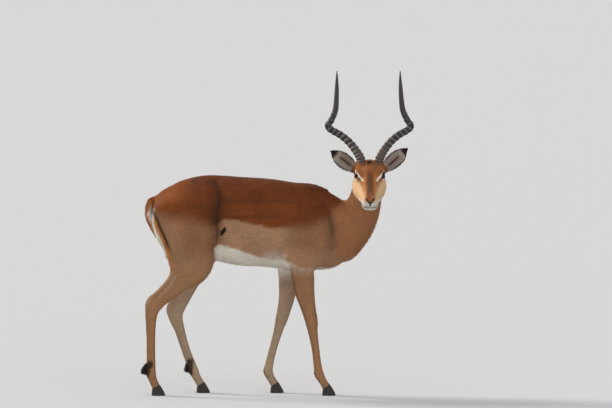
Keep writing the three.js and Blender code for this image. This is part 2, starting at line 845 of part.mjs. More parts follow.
for (const [name, side] of [['right', RIGHT], ['left', LEFT]]) {
  const { hindleg, foreleg } = tubes[name];
  const leg = (tube, t0, t1, rings, grow = 0) =>
    sleeve(body, tube, t0, t1, { rings, sectors: LIMB_SECTORS, grow });
  const rear = CUTS.hindleg;
  const fore = CUTS.foreleg;
  addPiece(`gaskin_${name}`, leg(hindleg, rear.start, rear.hock, 8), 'flank');
  const cannon = (grow) => leg(hindleg, rear.hock, rear.fetlock, 7, grow);
  const pastern = (grow) => leg(hindleg, rear.fetlock, rear.coronet, 6, grow);
  addPiece(`hind_cannon_${name}`, cannon(0), 'flank');
  addPiece(`hind_pastern_${name}`, pastern(0), 'flank');
  addPiece(`forearm_${name}`, leg(foreleg, fore.start, fore.knee, 7), 'flank');
  addPiece(`fore_cannon_${name}`, leg(foreleg, fore.knee, fore.fetlock, 7), 'flank');
  addPiece(`fore_pastern_${name}`, leg(foreleg, fore.fetlock, fore.coronet, 6), 'flank');
  for (const [word, outer] of [['outer', side], ['inner', -side]]) {
    addPiece(`hind_hoof_${name}_${word}`, claw(hindleg.section(rear.coronet), outer), 'hoof');
    addPiece(`fore_hoof_${name}_${word}`, claw(foreleg.section(fore.coronet), outer), 'hoof');
  }
  const tuftTube = new Tube(bodyRows(GLAND_TUFT[name], side));
  const tuftShape = { rings: 4, sectors: 8, domes: [1, 1] };
  const tuft = sleeve(new Flesh([{ tube: tuftTube, reach: 1 }]), tuftTube, 0, 2, tuftShape);
  addPiece(`gland_tuft_${name}`, tuft.subtract(cannon(GAP)).subtract(pastern(GAP)), 'gland');
}

// ---------- tail and neck ----------

addPiece('tail', tailPiece(0), 'tail');

const neckShape = { sectors: NECK_SECTORS };
const { start: neckStart, middle: neckMiddle } = CUTS.neck;
addPiece('neck_lower', sleeve(body, tubes.neck, neckStart, neckMiddle, { ...neckShape, rings: 6 }), 'flank');

// ---------- head ----------

const headShape = { rings: 16, sectors: HEAD_SECTORS, domes: [2, 3] };
const wholeHead = sleeve(headFlesh, tubes.skull, 0.5, 7.8, headShape);
const grownHead = sleeve(headFlesh, tubes.skull, 0.5, 7.8, { ...headShape, grow: GAP });
const headCut = {
  point: headPoint(HEAD_CUT.place),
  normal: add(scale(HEAD_AXES.along, HEAD_CUT.along), scale(HEAD_AXES.above, HEAD_CUT.above)),
};
const neckTop = sleeve(torso, tubes.neck, neckMiddle, 6, { ...neckShape, rings: 9, domes: [0, 2] });
const neckUnder = cutApart(neckTop, headCut.point, headCut.normal)[1];
addPiece('neck_upper', largest(neckUnder.subtract(grownHead)), 'flank');

function eyeball(side, radius) {
  const ball = new THREE.SphereGeometry(radius, 10, 8);
  ball.rotateX(Math.PI / 2);
  ball.translate(...headPoint([0, side * EYE_SPREAD, EYE_RISE]));
  return solidOf(ball);
}

/** A horn: round rings along its path, from inside the head to the tip. */
function horn(side) {
  const rows = HORN_PATH.map(([a, back, up, radius]) => {
    const across = HORN_CENTRE + side * a - HORN_LEAN * up;
    return [...add(EYE_CENTRE, [across, back, up]), radius];
  });
  const last = rows.length - 1;
  const loops = Array.from({ length: last * HORN_RINGS_A_ROW }, (_, r) => {
    const t = r / HORN_RINGS_A_ROW;
    const [x, y, z, radius] = alongRows(rows, t);
    const ahead = sub(alongRows(rows, t + 0.1), alongRows(rows, t - 0.1));
    const along = unit(ahead.slice(0, 3));
    const out = unit(cross(along, [0, 1, 0]));
    const back = cross(out, along);
    return Array.from({ length: HORN_SECTORS }, (_, s) => {
      const angle = (s / HORN_SECTORS) * 2 * Math.PI;
      const offset = add(scale(out, Math.cos(angle) * radius), scale(back, Math.sin(angle) * radius));
      return add([x, y, z], offset);
    });
  });
  return loft(loops, rows[0].slice(0, 3), rows[last].slice(0, 3));
}

const EAR = {
  root: [-52, 55, 1], // in the head
  tip: { right: [-165, 66, 107], left: [163, 66, 117] }, // from the eyes
  curl: 62, // degrees that each edge turns forward
};

/** A leaf-shaped cup: rings of an inner and an outer sheet along the ear, from root to tip. */
function ear(name, side) {
  const rings = 9;
  const columns = 5;
  const root = headPoint([EAR.root[0], side * EAR.root[1], EAR.root[2]]);
  const tip = add(EYE_CENTRE, EAR.tip[name]);
  const along = unit(sub(tip, root));
  const facing = unit(sub([0, -1, 0], scale(along, dot([0, -1, 0], along))));
  const across = cross(along, facing);
  const length = Math.hypot(...sub(tip, root));
  const loops = Array.from({ length: rings }, (_, r) => {
    const u = r / rings;
    const half = EAR_HALF_WIDTH * (0.42 * (1 - u) ** 3 + Math.sin(Math.PI * u ** 1.08) ** 0.68);
    const curl = radians(EAR.curl * (1 - 0.45 * u));
    const sheet = (v, inner) => {
      const thick = EAR_THICKNESS * (1 - 0.45 * v * v) * (1 - 0.5 * u);
      const radius = half / Math.sin(curl) - (inner ? thick : 0);
      const out = add(scale(across, Math.sin(v * curl) * radius), scale(facing, -Math.cos(v * curl) * radius));
      return add(add(root, scale(along, u * length)), add(out, scale(facing, half / Math.sin(curl) - 8)));
    };
    const steps = Array.from({ length: columns }, (_, c) => (2 * c) / (columns - 1) - 1);
    return [...steps.map((v) => sheet(v, false)), ...steps.reverse().map((v) => sheet(v, true))];
  });
  const rootMiddle = scale(loops[0].reduce(add), 1 / loops[0].length);
  return loft(loops, rootMiddle, tip);
}

let head = wholeHead;
for (const [name, side] of [['right', RIGHT], ['left', LEFT]]) {
  addPiece(`eye_${name}`, eyeball(side, EYE_RADIUS), 'eye');
  head = head.subtract(eyeball(side, EYE_RADIUS + GAP));
  addPiece(`horn_${name}`, horn(side).subtract(grownHead), 'horn');
  addPiece(`ear_${name}`, ear(name, side).subtract(grownHead), 'face');
}
const droop = radians(MOUTH.droop);
const mouthNormal = add(
  scale(HEAD_AXES.above, Math.cos(droop)),
  scale(HEAD_AXES.along, Math.sin(droop)),
);
const [upperHead, lowerJaw] = cutApart(head, headPoint(MOUTH.place), mouthNormal);
addPiece('head', upperHead, 'face');
addPiece('lower_jaw', lowerJaw, 'face');

// ---------- the model ----------

const impala = new THREE.Group();
impala.name = 'impala';
for (const { name, solid, coat } of pieces) {
  const material = new THREE.MeshStandardMaterial({ color: COATS[coat], roughness: 0.8, metalness: 0 });
  const mesh = new THREE.Mesh(geometryOf(solid), material);
  mesh.name = name;
  impala.add(mesh);
}

export default impala;
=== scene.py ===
import math

import bpy
import numpy as np
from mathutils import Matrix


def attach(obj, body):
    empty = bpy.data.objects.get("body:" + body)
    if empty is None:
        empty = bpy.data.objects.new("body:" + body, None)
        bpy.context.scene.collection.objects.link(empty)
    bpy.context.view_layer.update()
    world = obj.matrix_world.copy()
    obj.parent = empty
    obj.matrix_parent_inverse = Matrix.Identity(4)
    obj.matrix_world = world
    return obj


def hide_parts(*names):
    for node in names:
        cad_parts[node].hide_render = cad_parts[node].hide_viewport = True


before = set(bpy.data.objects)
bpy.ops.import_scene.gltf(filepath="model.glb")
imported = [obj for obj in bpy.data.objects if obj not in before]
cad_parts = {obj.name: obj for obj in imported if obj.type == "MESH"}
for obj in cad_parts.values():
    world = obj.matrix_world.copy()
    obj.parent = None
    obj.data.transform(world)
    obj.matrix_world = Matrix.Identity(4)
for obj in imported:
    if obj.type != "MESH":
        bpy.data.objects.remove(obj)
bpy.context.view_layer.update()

# Forms are in millimetres along the frame's axes, and meshes are written in metres.
# The body points to +X and the face to -Y, so the animal's right side is at -Y.

midY = 62
headOrigin = np.array([388.0, midY - 125, 934.0])  # where the head's rows start from
headPitch = math.radians(26)
headAlong = np.array([0.0, -math.cos(headPitch), -math.sin(headPitch)])
headAbove = np.array([0.0, -math.sin(headPitch), math.cos(headPitch)])
headAcross = np.array([1.0, 0.0, 0.0])
sides = {"right": -1, "left": 1}


# ---- small array helpers ----

def unit(v):
    # Each vector divided by its length.
    return v / np.maximum(np.linalg.norm(v, axis=-1, keepdims=True), 1e-9)


def dot(a, b):
    # The sum of the products along the last axis.
    return np.einsum("...k,...k->...", a, b)


def smoothStep(low, high, x):
    # 0 at low, 1 at high and 3tt - 2ttt between; it falls where low is the greater.
    t = np.clip((x - low) / (high - low), 0, 1)
    return t * t * (3 - 2 * t)


def alongRows(rows, t):
    # Catmull-Rom curve through the rows; one unit of t is one row.
    rows = np.asarray(rows, float)
    last = len(rows) - 1
    padded = np.vstack([2 * rows[0] - rows[1], rows, 2 * rows[-1] - rows[-2]])
    t = np.atleast_1d(np.asarray(t, float))
    i = np.clip(np.floor(t).astype(int), 0, last - 1)
    s = (t - i)[:, None]
    a, b, c, d = (padded[i + k] for k in range(4))
    bend = (2 * a - 5 * b + 4 * c - d) * s ** 2
    twist = (3 * (b - c) + d - a) * s ** 3
    return b + 0.5 * ((c - a) * s + bend + twist)


def headPoint(rows):
    # Head rows are along the palate, across, and above the eyes.
    rows = np.asarray(rows, float)
    axes = np.stack([headAlong, headAcross, headAbove])
    return headOrigin + rows[..., :3] @ axes


def headPlace(points):
    # The other way round: how far along, across and above each point lies.
    axes = np.stack([headAlong, headAcross, headAbove])
    return (points - headOrigin) @ axes.T


def bodyRows(rows, side=1):
    # Rows measured from the middle plane, set on one side of it.
    rows = np.array(rows, float)
    rows[:, 1] = midY + side * rows[:, 1]
    return rows


def headRows(rows, side=1):
    # Head rows set on one side, as rows along the frame's axes.
    rows = np.array(rows, float)
    rows[:, 1] *= side
    return np.hstack([headPoint(rows), rows[:, 3:]])


def hashNoise(points, scale, seed=0):
    # Smooth value noise: random numbers on a lattice, blended between its corners.
    p = points / scale + 1000
    base = np.floor(p).astype(np.int64)
    f = p - base
    f = f * f * (3 - 2 * f)
    total = np.zeros(len(points))
    for corner in range(8):
        o = np.array([corner & 1, corner >> 1 & 1, corner >> 2 & 1])
        c = base + o
        n = c[:, 0] * 73856093 ^ c[:, 1] * 19349663 ^ c[:, 2] * 83492791 ^ seed * 2654435761
        n = (n ^ n >> 13) * 1274126177 & 0x7FFFFFFF
        n = (n ^ n >> 15) & 0xFFFFF
        total += n / 0xFFFFF * np.prod(np.where(o, f, 1 - f), axis=1)
    return 2 * total - 1


# ---- tubes: oval sections along a curve ----

class Tube:
    def __init__(self, rows, side=(0, 1, 0), sideEnd=None, power=2, steps=4):
        self.power = power
        self.steps = steps
        self.spans = len(rows) - 1
        count = self.spans * steps
        knots = alongRows(rows, np.arange(count + 1) / steps)
        self.centre = knots[:, :3]
        self.half, self.depth, self.taper = knots[:, 3:].T
        i = np.arange(count + 1)
        ahead = self.centre[np.minimum(i + 1, count)] - self.centre[np.maximum(i - 1, 0)]
        self.along = unit(ahead)
        end = side if sideEnd is None else sideEnd
        share = (i / count)[:, None]
        turned = np.array(side) * (1 - share) + np.array(end) * share
        self.side = unit(turned - self.along * dot(turned, self.along)[:, None])
        reach = max(self.half.max(), self.depth.max())
        self.low = self.centre.min(0) - reach
        self.high = self.centre.max(0) + reach

    def nearest(self, points):
        # The nearest place on the middle line: its piece and how far along that piece.
        start = self.centre[:-1]
        axis = self.centre[1:] - start
        length2 = dot(axis, axis)
        index = np.empty(len(points), int)
        share = np.empty(len(points))
        for a in range(0, len(points), 40000):
            p = points[a:a + 40000]
            run = p @ axis.T - dot(start, axis)
            t = np.clip(run / length2, 0, 1)
            far = dot(p, p)[:, None] - 2 * p @ start.T + dot(start, start)
            gap = far - 2 * t * run + t * t * length2
            best = gap.argmin(1)
            index[a:a + 40000] = best
            share[a:a + 40000] = t[np.arange(len(p)), best]
        return index, share

    def sections(self, points):
        # The section there, blended between the knots at the two ends of the piece.
        i, s = self.nearest(points)

        def mix(rows):
            share = s if rows.ndim == 1 else s[:, None]
            return rows[i] * (1 - share) + rows[i + 1] * share

        along = unit(mix(self.along))
        turned = mix(self.side)
        side = unit(turned - along * dot(turned, along)[:, None])
        return {
            "centre": mix(self.centre),
            "half": mix(self.half),
            "depth": mix(self.depth),
            "taper": mix(self.taper),
            "along": along,
            "side": side,
            "up": np.cross(along, side),
            "t": (i + s) / self.steps,
        }

    def at(self, points, sections=None):
        # How far each point lies outside the oval of its nearest section.
        k = sections or self.sections(points)
        q = points - k["centre"]
        far = np.linalg.norm(q, axis=1)
        u = np.abs(dot(q, k["side"]))
        v = dot(q, k["up"])
        rest = np.sqrt(np.maximum(far ** 2 - u ** 2 - v ** 2, 0))
        lean = np.clip(v / k["depth"], -1, 1)
        w = k["half"] * (1 - k["taper"] * lean)
        tip = np.minimum(k["half"], k["depth"])
        p = self.power
        total = (u / w) ** p + (np.abs(v) / k["depth"]) ** p + (rest / tip) ** p
        r = np.maximum(total ** (1 / p), 0.02)
        return far * (1 - 1 / r) - np.where(far < 1e-6, tip, 0)


def smoothMin(a, b, reach):
    # The lesser of two distances, less a quarter of the reach where they are equal.
    h = np.maximum(reach - np.abs(a - b), 0) / reach
    return np.minimum(a, b) - h * h * reach / 4


class Ear:
    # A leaf bent round its own length: an arc in each section, wide in the middle.
    def __init__(self, root, tip):
        self.root = root
        self.length = np.linalg.norm(tip - root)
        self.line = unit(tip - root)
        front = np.array([0.0, -1.0, 0.0])
        self.facing = unit(front - self.line * dot(front, self.line))
        self.across = np.cross(self.line, self.facing)
        self.low = np.minimum(root, tip) - 40
        self.high = np.maximum(root, tip) + 40

    def place(self, points):
        # Share of the length, share of the half width round the arc, and the arc itself.
        q = points - self.root
        u = dot(q, self.line) / self.length
        inside = np.clip(u, 0, 1)
        half = earLook["halfWidth"] * (
            0.42 * (1 - inside) ** 3 + np.sin(np.pi * inside ** 1.08).clip(0) ** 0.68
        )
        half = np.maximum(half, 0.4)
        curl = np.radians(earLook["curl"] * (1 - 0.45 * inside))
        radius = half / np.sin(curl)
        x = dot(q, self.across)
        y = dot(q, self.facing) - (radius - 8)
        angle = np.arctan2(x, -y)
        v = np.clip(angle / curl, -1, 1)
        return u, v, curl, radius, x, y

    def at(self, points):
        # Distance from the middle of the leaf, less half its thickness.
        u, v, curl, radius, x, y = self.place(points)
        thick = earLook["thickness"] * (1 - 0.3 * v * v) * (1 - 0.2 * np.clip(u, 0, 1))
        middle = radius - earLook["thickness"] / 2
        dx = x - middle * np.sin(v * curl)
        dy = y + middle * np.cos(v * curl)
        beyond = (u - np.clip(u, 0, 1)) * self.length
        return np.sqrt(dx ** 2 + dy ** 2 + beyond ** 2) - thick / 2


# ---- the flesh ----

# Rows are x, y, z, half width, half depth, taper, with y from the body's middle plane.
trunkRows = [
    [-537, 0, 757, 12, 32, 0], [-530, 0, 757, 34, 56, 0.02], [-517, 0, 757, 50, 84, 0.04],
    [-497, 0, 757, 63, 109, 0.07], [-471, 0, 757, 79, 126, 0.1], [-444, 0, 757, 95, 139, 0.13],
    [-400, 0, 757, 110, 160, 0.18], [-320, 0, 755, 116, 180, 0.15], [-235, 0, 750, 119, 184, 0.08],
    [-150, 0, 738, 123, 190, 0.04], [-50, 0, 732, 124, 189, 0.05], [50, 0, 718, 116, 188, 0.16],
    [125, 0, 708, 104, 191, 0.28], [185, 0, 693, 92, 170, 0.24], [240, 0, 681, 78, 144, 0.1],
    [290, 0, 676, 62, 104, 0],
]
neckRows = [
    [190, 0, 702, 86, 150, 0.2], [262, 0, 714, 80, 133, 0.15], [315, -4, 742, 73, 113, 0.12],
    [349, -12, 778, 68, 90, 0.1], [369, -24, 826, 66, 78, 0.05], [381, -38, 880, 62, 68, 0],
    [386, -50, 935, 53, 56, 0],
]
hindLegRows = {
    "right": [
        [-398, 50, 805, 44, 112, 0], [-388, 62, 715, 54, 138, -0.1], [-376, 70, 632, 53, 112, -0.1],
        [-374, 73, 572, 47, 104, 0], [-393, 73, 523, 40, 83, 0.1], [-423, 71, 485, 33, 50, 0.1],
        [-456, 69, 450, 27, 42, 0], [-494, 66, 418, 22, 36, 0], [-524, 63, 388, 21, 36, 0],
        [-536, 62, 350, 20.5, 27, 0], [-539, 61, 300, 18, 21.5, 0], [-539, 61, 245, 16.5, 19, 0],
        [-539, 61, 185, 16, 18.5, 0], [-539, 61, 135, 17, 19.5, 0], [-540, 61, 98, 20, 22, 0],
        [-531, 61, 66, 17, 18, 0], [-518, 61, 36, 18, 18, 0],
    ],
    "left": [
        [-385, 50, 805, 44, 118, 0], [-368, 62, 715, 54, 142, -0.1], [-356, 70, 632, 53, 112, -0.1],
        [-354, 74, 572, 47, 84, 0], [-364, 74, 528, 40, 70, 0.1], [-382, 72, 486, 33, 53, 0.1],
        [-398, 70, 440, 27, 41, 0], [-418, 67, 396, 22, 37, 0], [-438, 65, 356, 21, 37, 0],
        [-436, 63, 318, 20.5, 29, 0], [-422, 62, 275, 18, 22.5, 0], [-409, 61, 230, 16.5, 19.5, 0],
        [-393, 61, 180, 16, 18.5, 0], [-377, 61, 135, 17, 19.5, 0], [-364, 61, 98, 20, 22, 0],
        [-348, 61, 66, 17, 18, 0], [-331, 61, 36, 18, 18, 0],
    ],
}
shoulderRows = {
    "right": [
        [118, 36, 862, 18, 34, 0], [136, 62, 795, 26, 62, 0], [164, 76, 715, 32, 76, 0],
        [186, 80, 650, 34, 58, 0],
    ],
    "left": [
        [112, 36, 862, 18, 34, 0], [124, 62, 795, 26, 62, 0], [148, 76, 715, 32, 76, 0],
        [168, 80, 650, 34, 58, 0],
    ],
}
foreLegRows = {
    "right": [
        [182, 74, 668, 34, 52, 0], [140, 80, 608, 38, 60, 0], [106, 80, 548, 37, 54, 0],
        [109, 76, 490, 33, 47, 0], [114, 72, 440, 29, 42, 0.1], [129, 68, 375, 24, 32, 0.1],
        [142, 66, 315, 22, 26, 0], [150, 64, 262, 18, 20, 0], [160, 62, 200, 15, 16.5, 0],
        [168, 60, 130, 16, 17.5, 0], [174, 59, 92, 19, 21, 0], [189, 58, 63, 17, 17.5, 0],
        [206, 58, 36, 18, 18, 0],
    ],
    "left": [
        [160, 74, 668, 34, 52, 0], [100, 80, 610, 38, 62, 0], [56, 80, 552, 37, 56, 0],
        [47, 76, 492, 33, 46, 0], [42, 72, 440, 28, 38, 0.1], [32, 68, 380, 24, 31, 0.1],
        [15, 66, 318, 22, 25, 0], [1, 64, 265, 18, 19.5, 0], [-18, 62, 200, 15, 16.5, 0],
        [-36, 60, 130, 16, 17.5, 0], [-43, 59, 92, 19, 21, 0], [-31, 58, 63, 17, 17.5, 0],
        [-15, 58, 36, 18, 18, 0],
    ],
}
tailRows = [
    [-502, 0, 835, 18, 18, 0], [-526, 0, 829, 17, 15, 0], [-546, 0, 804, 16, 12, 0],
    [-552, 0, 770, 17, 9.5, 0], [-545, 0, 738, 17, 8.5, 0], [-533, 0, 708, 15, 7, 0],
    [-523, 0, 684, 9, 5, 0],
]
# Head rows are along the palate, across, above the eyes, half width, half height, taper.
skullRows = [
    [-92, 0, -16, 42, 38, 0], [-62, 0, -20, 56, 64, 0.05], [-28, 0, -29, 64, 74, 0.1],
    [5, 0, -34, 63, 70, 0.1], [40, 0, -39, 52, 57, 0.15], [75, 0, -44, 41, 45, 0.25],
    [105, 0, -48, 37, 38, 0.2], [130, 0, -51, 35, 34, 0.15], [146, 0, -51, 30, 27, 0.1],
]
headSideRows = [
    ([[-46, 38, 28, 16, 16, 0], [-16, 42, 19, 15, 13, 0], [12, 41, 12, 13, 11, 0]], 14),
    ([[-16, 40, 6, 21, 21, 0], [14, 37, 3, 21, 20, 0]], 12),
    ([[-20, 40, -58, 27, 34, 0], [22, 38, -62, 25, 30, 0], [60, 28, -64, 19, 23, 0]], 20),
    ([[118, 17, -53, 15, 16, 0], [142, 14, -53, 15, 15, 0]], 10),
    ([[126, 13, -30, 13, 13, 0], [150, 13, -32, 13, 12, 0]], 8),
    ([[-40, 35, 22, 22, 21, 0], [-46, 37, 31, 21.5, 21, 0]], 14),
    ([[-52, 45, -4, 18, 20, 0], [-55, 60, 5, 13, 15, 0]], 14),
]
earLook = {
    "halfWidth": 31,
    "thickness": 4.8,
    "curl": 62,
    "root": [-52, 55, 1],
    "tip": {"right": [-165, 66, 107], "left": [163, 66, 117]},
}
eyeLook = {"spread": 46, "rise": 8, "radius": 18.0}

groups = {
    "trunk": [(Tube(bodyRows(trunkRows), power=2.2), 1)],
    "neck": [(Tube(bodyRows(neckRows), sideEnd=(1, 0.15, 0)), 46)],
    "tail": [(Tube(bodyRows(tailRows)), 14)],
}
for name, side in sides.items():
    groups["hind_" + name] = [(Tube(bodyRows(hindLegRows[name], side)), 40)]
    groups["shoulder_" + name] = [(Tube(bodyRows(shoulderRows[name], side)), 30)]
    groups["fore_" + name] = [(Tube(bodyRows(foreLegRows[name], side)), 34)]
across = {"side": (1, 0, 0)}
groups["head"] = [(Tube(headRows(skullRows), power=2.3, **across), 38)]
for side in sides.values():
    groups["head"] += [(Tube(headRows(rows, side), **across), reach) for rows, reach in headSideRows]
for name, side in sides.items():
    earRoot = np.array(earLook["root"], float) * [1, side, 1]
    ear = Ear(headPoint(earRoot), headOrigin + np.array(earLook["tip"][name], float))
    groups["ear_" + name] = [(ear, 9)]


def fleshAt(points):
    # Smooth union of every form; a form is skipped where it is too far off to matter.
    value = np.full(len(points), 400.0)
    for forms in groups.values():
        for form, reach in forms:
            away = np.maximum(form.low - points, points - form.high).max(1)
            near = np.flatnonzero(away <= value + reach)
            if len(near):
                value[near] = smoothMin(value[near], form.at(points[near]), reach)
    return value


def gradientOf(field, points, values, step=0.4):
    slopes = [(field(points + step * axis) - values) / step for axis in np.eye(3)]
    return np.stack(slopes, axis=1)


def ontoSurface(field, points, rounds=3, most=6.0):
    # Newton steps along the slope until the field is nought.
    for _ in range(rounds):
        value = field(points)
        slope = gradientOf(field, points, value)
        move = -value[:, None] * slope / np.maximum(dot(slope, slope), 0.05)[:, None]
        size = np.linalg.norm(move, axis=1, keepdims=True)
        points = points + move * np.minimum(1, most / np.maximum(size, 1e-9))
    return points


# ---- skin: folds, hollows and the eye openings ----

skinLook = {
    "cell": 13.65,
    "legTop": 430,  # below this height cells are lower, by legShare
    "legShare": 0.55,
    "coat": {"body": 3.0, "leg": 1.2, "face": 0.9, "ear": 0.2, "tail": 1.2},
    # Along and up, on the side of the body: the hollow before the hip, and the front of the shoulder. Both
    # lines sink the skin and carry painted shade in the coat.
    "hipLine": [
        [-268, 922], [-253, 886], [-243, 838], [-249, 795], [-254, 747], [-250, 708], [-257, 662], [-266, 590],
    ],
    "shoulderLine": [[196, 812], [214, 776], [226, 735], [230, 695], [226, 655]],
}


def tubePath(group, side, rows):
    # Points on a tube from its rows (row number, degrees from the outer side to the front or top).
    tube = groups[group][0][0]
    rows = np.asarray(rows, float)
    k = rows[:, 0] * tube.steps

    def knot(values):
        return np.stack([np.interp(k, np.arange(len(v)), v) for v in np.atleast_2d(values.T)], 1)

    centre, sideways = knot(tube.centre), unit(knot(tube.side))
    up = np.cross(unit(knot(tube.along)), sideways)
    half, depth = knot(tube.half), knot(tube.depth)
    angle = np.radians(rows[:, 1])[:, None]
    return centre + sideways * side * np.cos(angle) * half + up * np.sin(angle) * depth


def densePath(points, count=5):
    # A smooth curve through the points, with so many steps between each two.
    return alongRows(points, np.linspace(0, len(points) - 1, (len(points) - 1) * count + 1))


folds = []


def fold(points, width, height, count=5):
    # Raises the skin by height along a path, or sinks it where height is below nought.
    path = ontoSurface(fleshAt, densePath(np.asarray(points, float), count), rounds=4)
    folds.append((path, width, height))


for name, side in sides.items():
    hind, fore = "hind_" + name, "fore_" + name
    # Trunk: hollow before the hip, hip bone, fold of the flank, edge of the shoulder.
    fold(tubePath("trunk", side, [[7.55, 62], [7.8, 44], [7.95, 24]]), 22, -9)
    fold(tubePath("trunk", side, [[7.1, 50], [7.3, 42]]), 20, 5)
    fold(tubePath("trunk", side, [[7.95, 12], [8, -8], [7.8, -28], [7.5, -44]]), 14, -7)
    fold(tubePath("trunk", side, [[7.6, -30], [7.85, -50], [7.9, -62]]), 12, 4)
    fold(tubePath("trunk", side, [[11.3, 40], [11.35, 10], [11.1, -20]]), 20, -3.5)
    fold(tubePath("trunk", side, [[10.9, -18], [10.75, -34], [10.8, -48]]), 12, -6)
    fold(tubePath("trunk", side, [[13.8, 20], [14, 6], [14.05, -16]]), 15, -6)
    fold(tubePath("trunk", side, [[12.1, 34], [12.6, 14], [13, 0]]), 8, -2.5)
    fold(tubePath("trunk", side, [[11.9, 46], [12.5, 20], [13.2, -14]]), 12, 3)
    for line, width, depth in ((skinLook["hipLine"][:-1], 8, -5), (skinLook["shoulderLine"][1:], 13, -6)):
        fold([[along, midY + side * 120, up] for along, up in line], width, depth, 2)
    for rib in range(7):
        t = 8.5 + 0.34 * rib
        fold(tubePath("trunk", side, [[t + 0.1, 20], [t, -8], [t + 0.2, -34]]), 7, 0.8)
    # Hind leg: grooves of the thigh, hollow before the Achilles tendon, hock, cannon.
    fold(tubePath(hind, side, [[0.6, 205], [1.5, 214], [2.6, 222], [3.4, 220]]), 11, -4.5)
    fold(tubePath(hind, side, [[0.8, 60], [1.8, 50], [2.8, 30], [3.6, 20]]), 15, -3)
    for face in (0, 180):
        turn = 1 if face == 0 else -1
        hollow = [[row, face - turn * angle] for row, angle in ((4.6, 34), (5.6, 36), (6.6, 34), (7.5, 30))]
        fold(tubePath(hind, side, hollow), 9, -9.5)
        fold(tubePath(hind, side, [[10.2, face - turn * 18], [12.6, face - turn * 20]]), 4.5, -2.4)
        fold(tubePath(hind, side, [[8.2, face], [8.8, face]]), 9, 2.2)
        fold(tubePath(fore, side, [[6.9, face - turn * 20], [8.8, face - turn * 22]]), 4.5, -2.2)
        fold(tubePath(fore, side, [[5.9, face], [6.2, face]]), 9, 2.0)
        fold(tubePath(fore, side, [[9.7, face - turn * 10], [10.1, face - turn * 12]]), 7, 1.6)
        fold(tubePath(hind, side, [[13.7, face - turn * 10], [14.1, face - turn * 12]]), 7, 1.6)
    fold(tubePath(hind, side, [[7.7, 270], [8.3, 268]]), 9, 3)
    fold(tubePath(fore, side, [[5.7, 90], [6.3, 90]]), 10, 2)
    # Foreleg: elbow, edge of the triceps, groove down the forearm.
    fold(tubePath(fore, side, [[1.3, -60], [1.9, -80]]), 14, 5)
    fold(tubePath(fore, side, [[0.6, -10], [1.4, 6], [2.4, 8]]), 10, -3)
    fold(tubePath(fore, side, [[2.8, -24], [3.8, -18], [4.9, -10]]), 7, -2.6)

    # Head: facial crest, hollow before the eye, edge of the cheek, brow, nose and mouth.
    def head(rows):
        return headPoint(np.array(rows, float) * [1, side, 1])

    fold(head([[24, 60, -28], [48, 50, -37], [80, 36, -45]]), 9, 2.5)
    fold(head([[26, 52, -4], [44, 44, -14], [62, 38, -21]]), 8, -4)
    fold(head([[50, 50, -54], [46, 48, -76], [30, 42, -94]]), 9, -3)
    fold(head([[40, 20, 9], [80, 15, -4], [118, 13, -14]]), 6, 1.6)
    fold(head([[-14, 50, 28], [4, 54, 27], [18, 52, 19]]), 7, 2.4)
    fold(head([[-40, 8, 44], [-20, 8, 40], [10, 7, 28]]), 8, 1.2)
    fold(head([[164, 8, -32], [162, 12, -27], [156, 18, -24], [149, 21, -24]]), 3.8, -8)
    fold(head([[160, 18, -17], [152, 21, -15], [144, 21, -19]]), 5, 2.2)
    fold(head([[158, 24, -31], [148, 26, -31]]), 5, 1.6)
    fold(head([[172, 0, -53], [166, 12, -54], [152, 24, -56], [130, 31, -59], [104, 34, -62]]), 2.8, -4.5)
    fold(head([[166, 8, -61], [152, 20, -64], [132, 27, -68]]), 6, 1.8)
    fold(head([[168, 10, -44], [154, 22, -46], [134, 29, -49]]), 6, 1.8)
fold(headPoint([[172, 0, -28], [174, 0, -40], [173, 0, -51]]), 2.6, -3)
fold(headPoint([[168, 0, -23], [160, 0, -17]]), 6, -1.5)
fold(headPoint([[136, 0, -92], [60, 0, -100]]), 10, -3)

# Each eye looks outwards, a little forward and up. The opening is an almond round that line.
eyeAxes = {}
headAxes = np.stack([headAlong, headAcross, headAbove])
for name, side in sides.items():
    look = unit(np.array([0.50, side * 0.85, 0.14]))
    length = np.array([0.95, 0, 0.28])
    length = unit(length - look * dot(length, look))
    rise = np.cross(look, length) * side
    rise = rise if rise[2] > 0 else -rise
    eyeAxes[name] = {
        "centre": headPoint(np.array([0, side * eyeLook["spread"], eyeLook["rise"]])),
        "axes": np.stack([look, length, rise]) @ headAxes,
    }


def eyeOpening(points, name):
    # Distance outside the almond, measured along the eyeball, and distance from its centre.
    eye = eyeAxes[name]
    q = points - eye["centre"]
    far = np.maximum(np.linalg.norm(q, axis=1), 1e-6)
    out, length, rise = (q @ eye["axes"].T / far[:, None]).T
    half = 0.80 - 0.04 * rise
    tall = np.where(rise > 0, 0.60, 0.47) * np.sqrt(np.maximum(1 - (length / half) ** 2, 0)) ** 1.3
    gap = np.where(np.abs(length) < half, np.abs(rise) - tall, np.hypot(np.abs(length) - half, rise))
    gap = np.where(out > 0.1, gap, 1.0)
    return gap * 19, far


def coatDepth(points):
    # How far the skin lies inside the coat's tips, blended from part to part of the body.
    depth = skinLook["coat"]
    leg = smoothStep(560, 420, points[:, 2])
    place = headPlace(points)
    face = smoothStep(-120, -60, place[:, 0]) * smoothStep(-135, -105, place[:, 2])
    face *= smoothStep(150, 110, np.abs(place[:, 1]))
    ears = face * 0
    for name in sides:
        ear = groups["ear_" + name][0][0]
        u = dot(points - ear.root, ear.line) / ear.length
        off = np.linalg.norm(points - ear.root - u[:, None] * ear.line * ear.length, axis=1)
        ears = np.maximum(ears, smoothStep(0.1, 0.3, u) * (off < 50))
    value = depth["body"] + (depth["leg"] - depth["body"]) * leg
    value = value + (depth["face"] - value) * face
    tail = smoothStep(-528, -542, points[:, 0]) * smoothStep(600, 640, points[:, 2])
    value = value + (depth["tail"] - value) * tail
    return value + (depth["ear"] - value) * ears


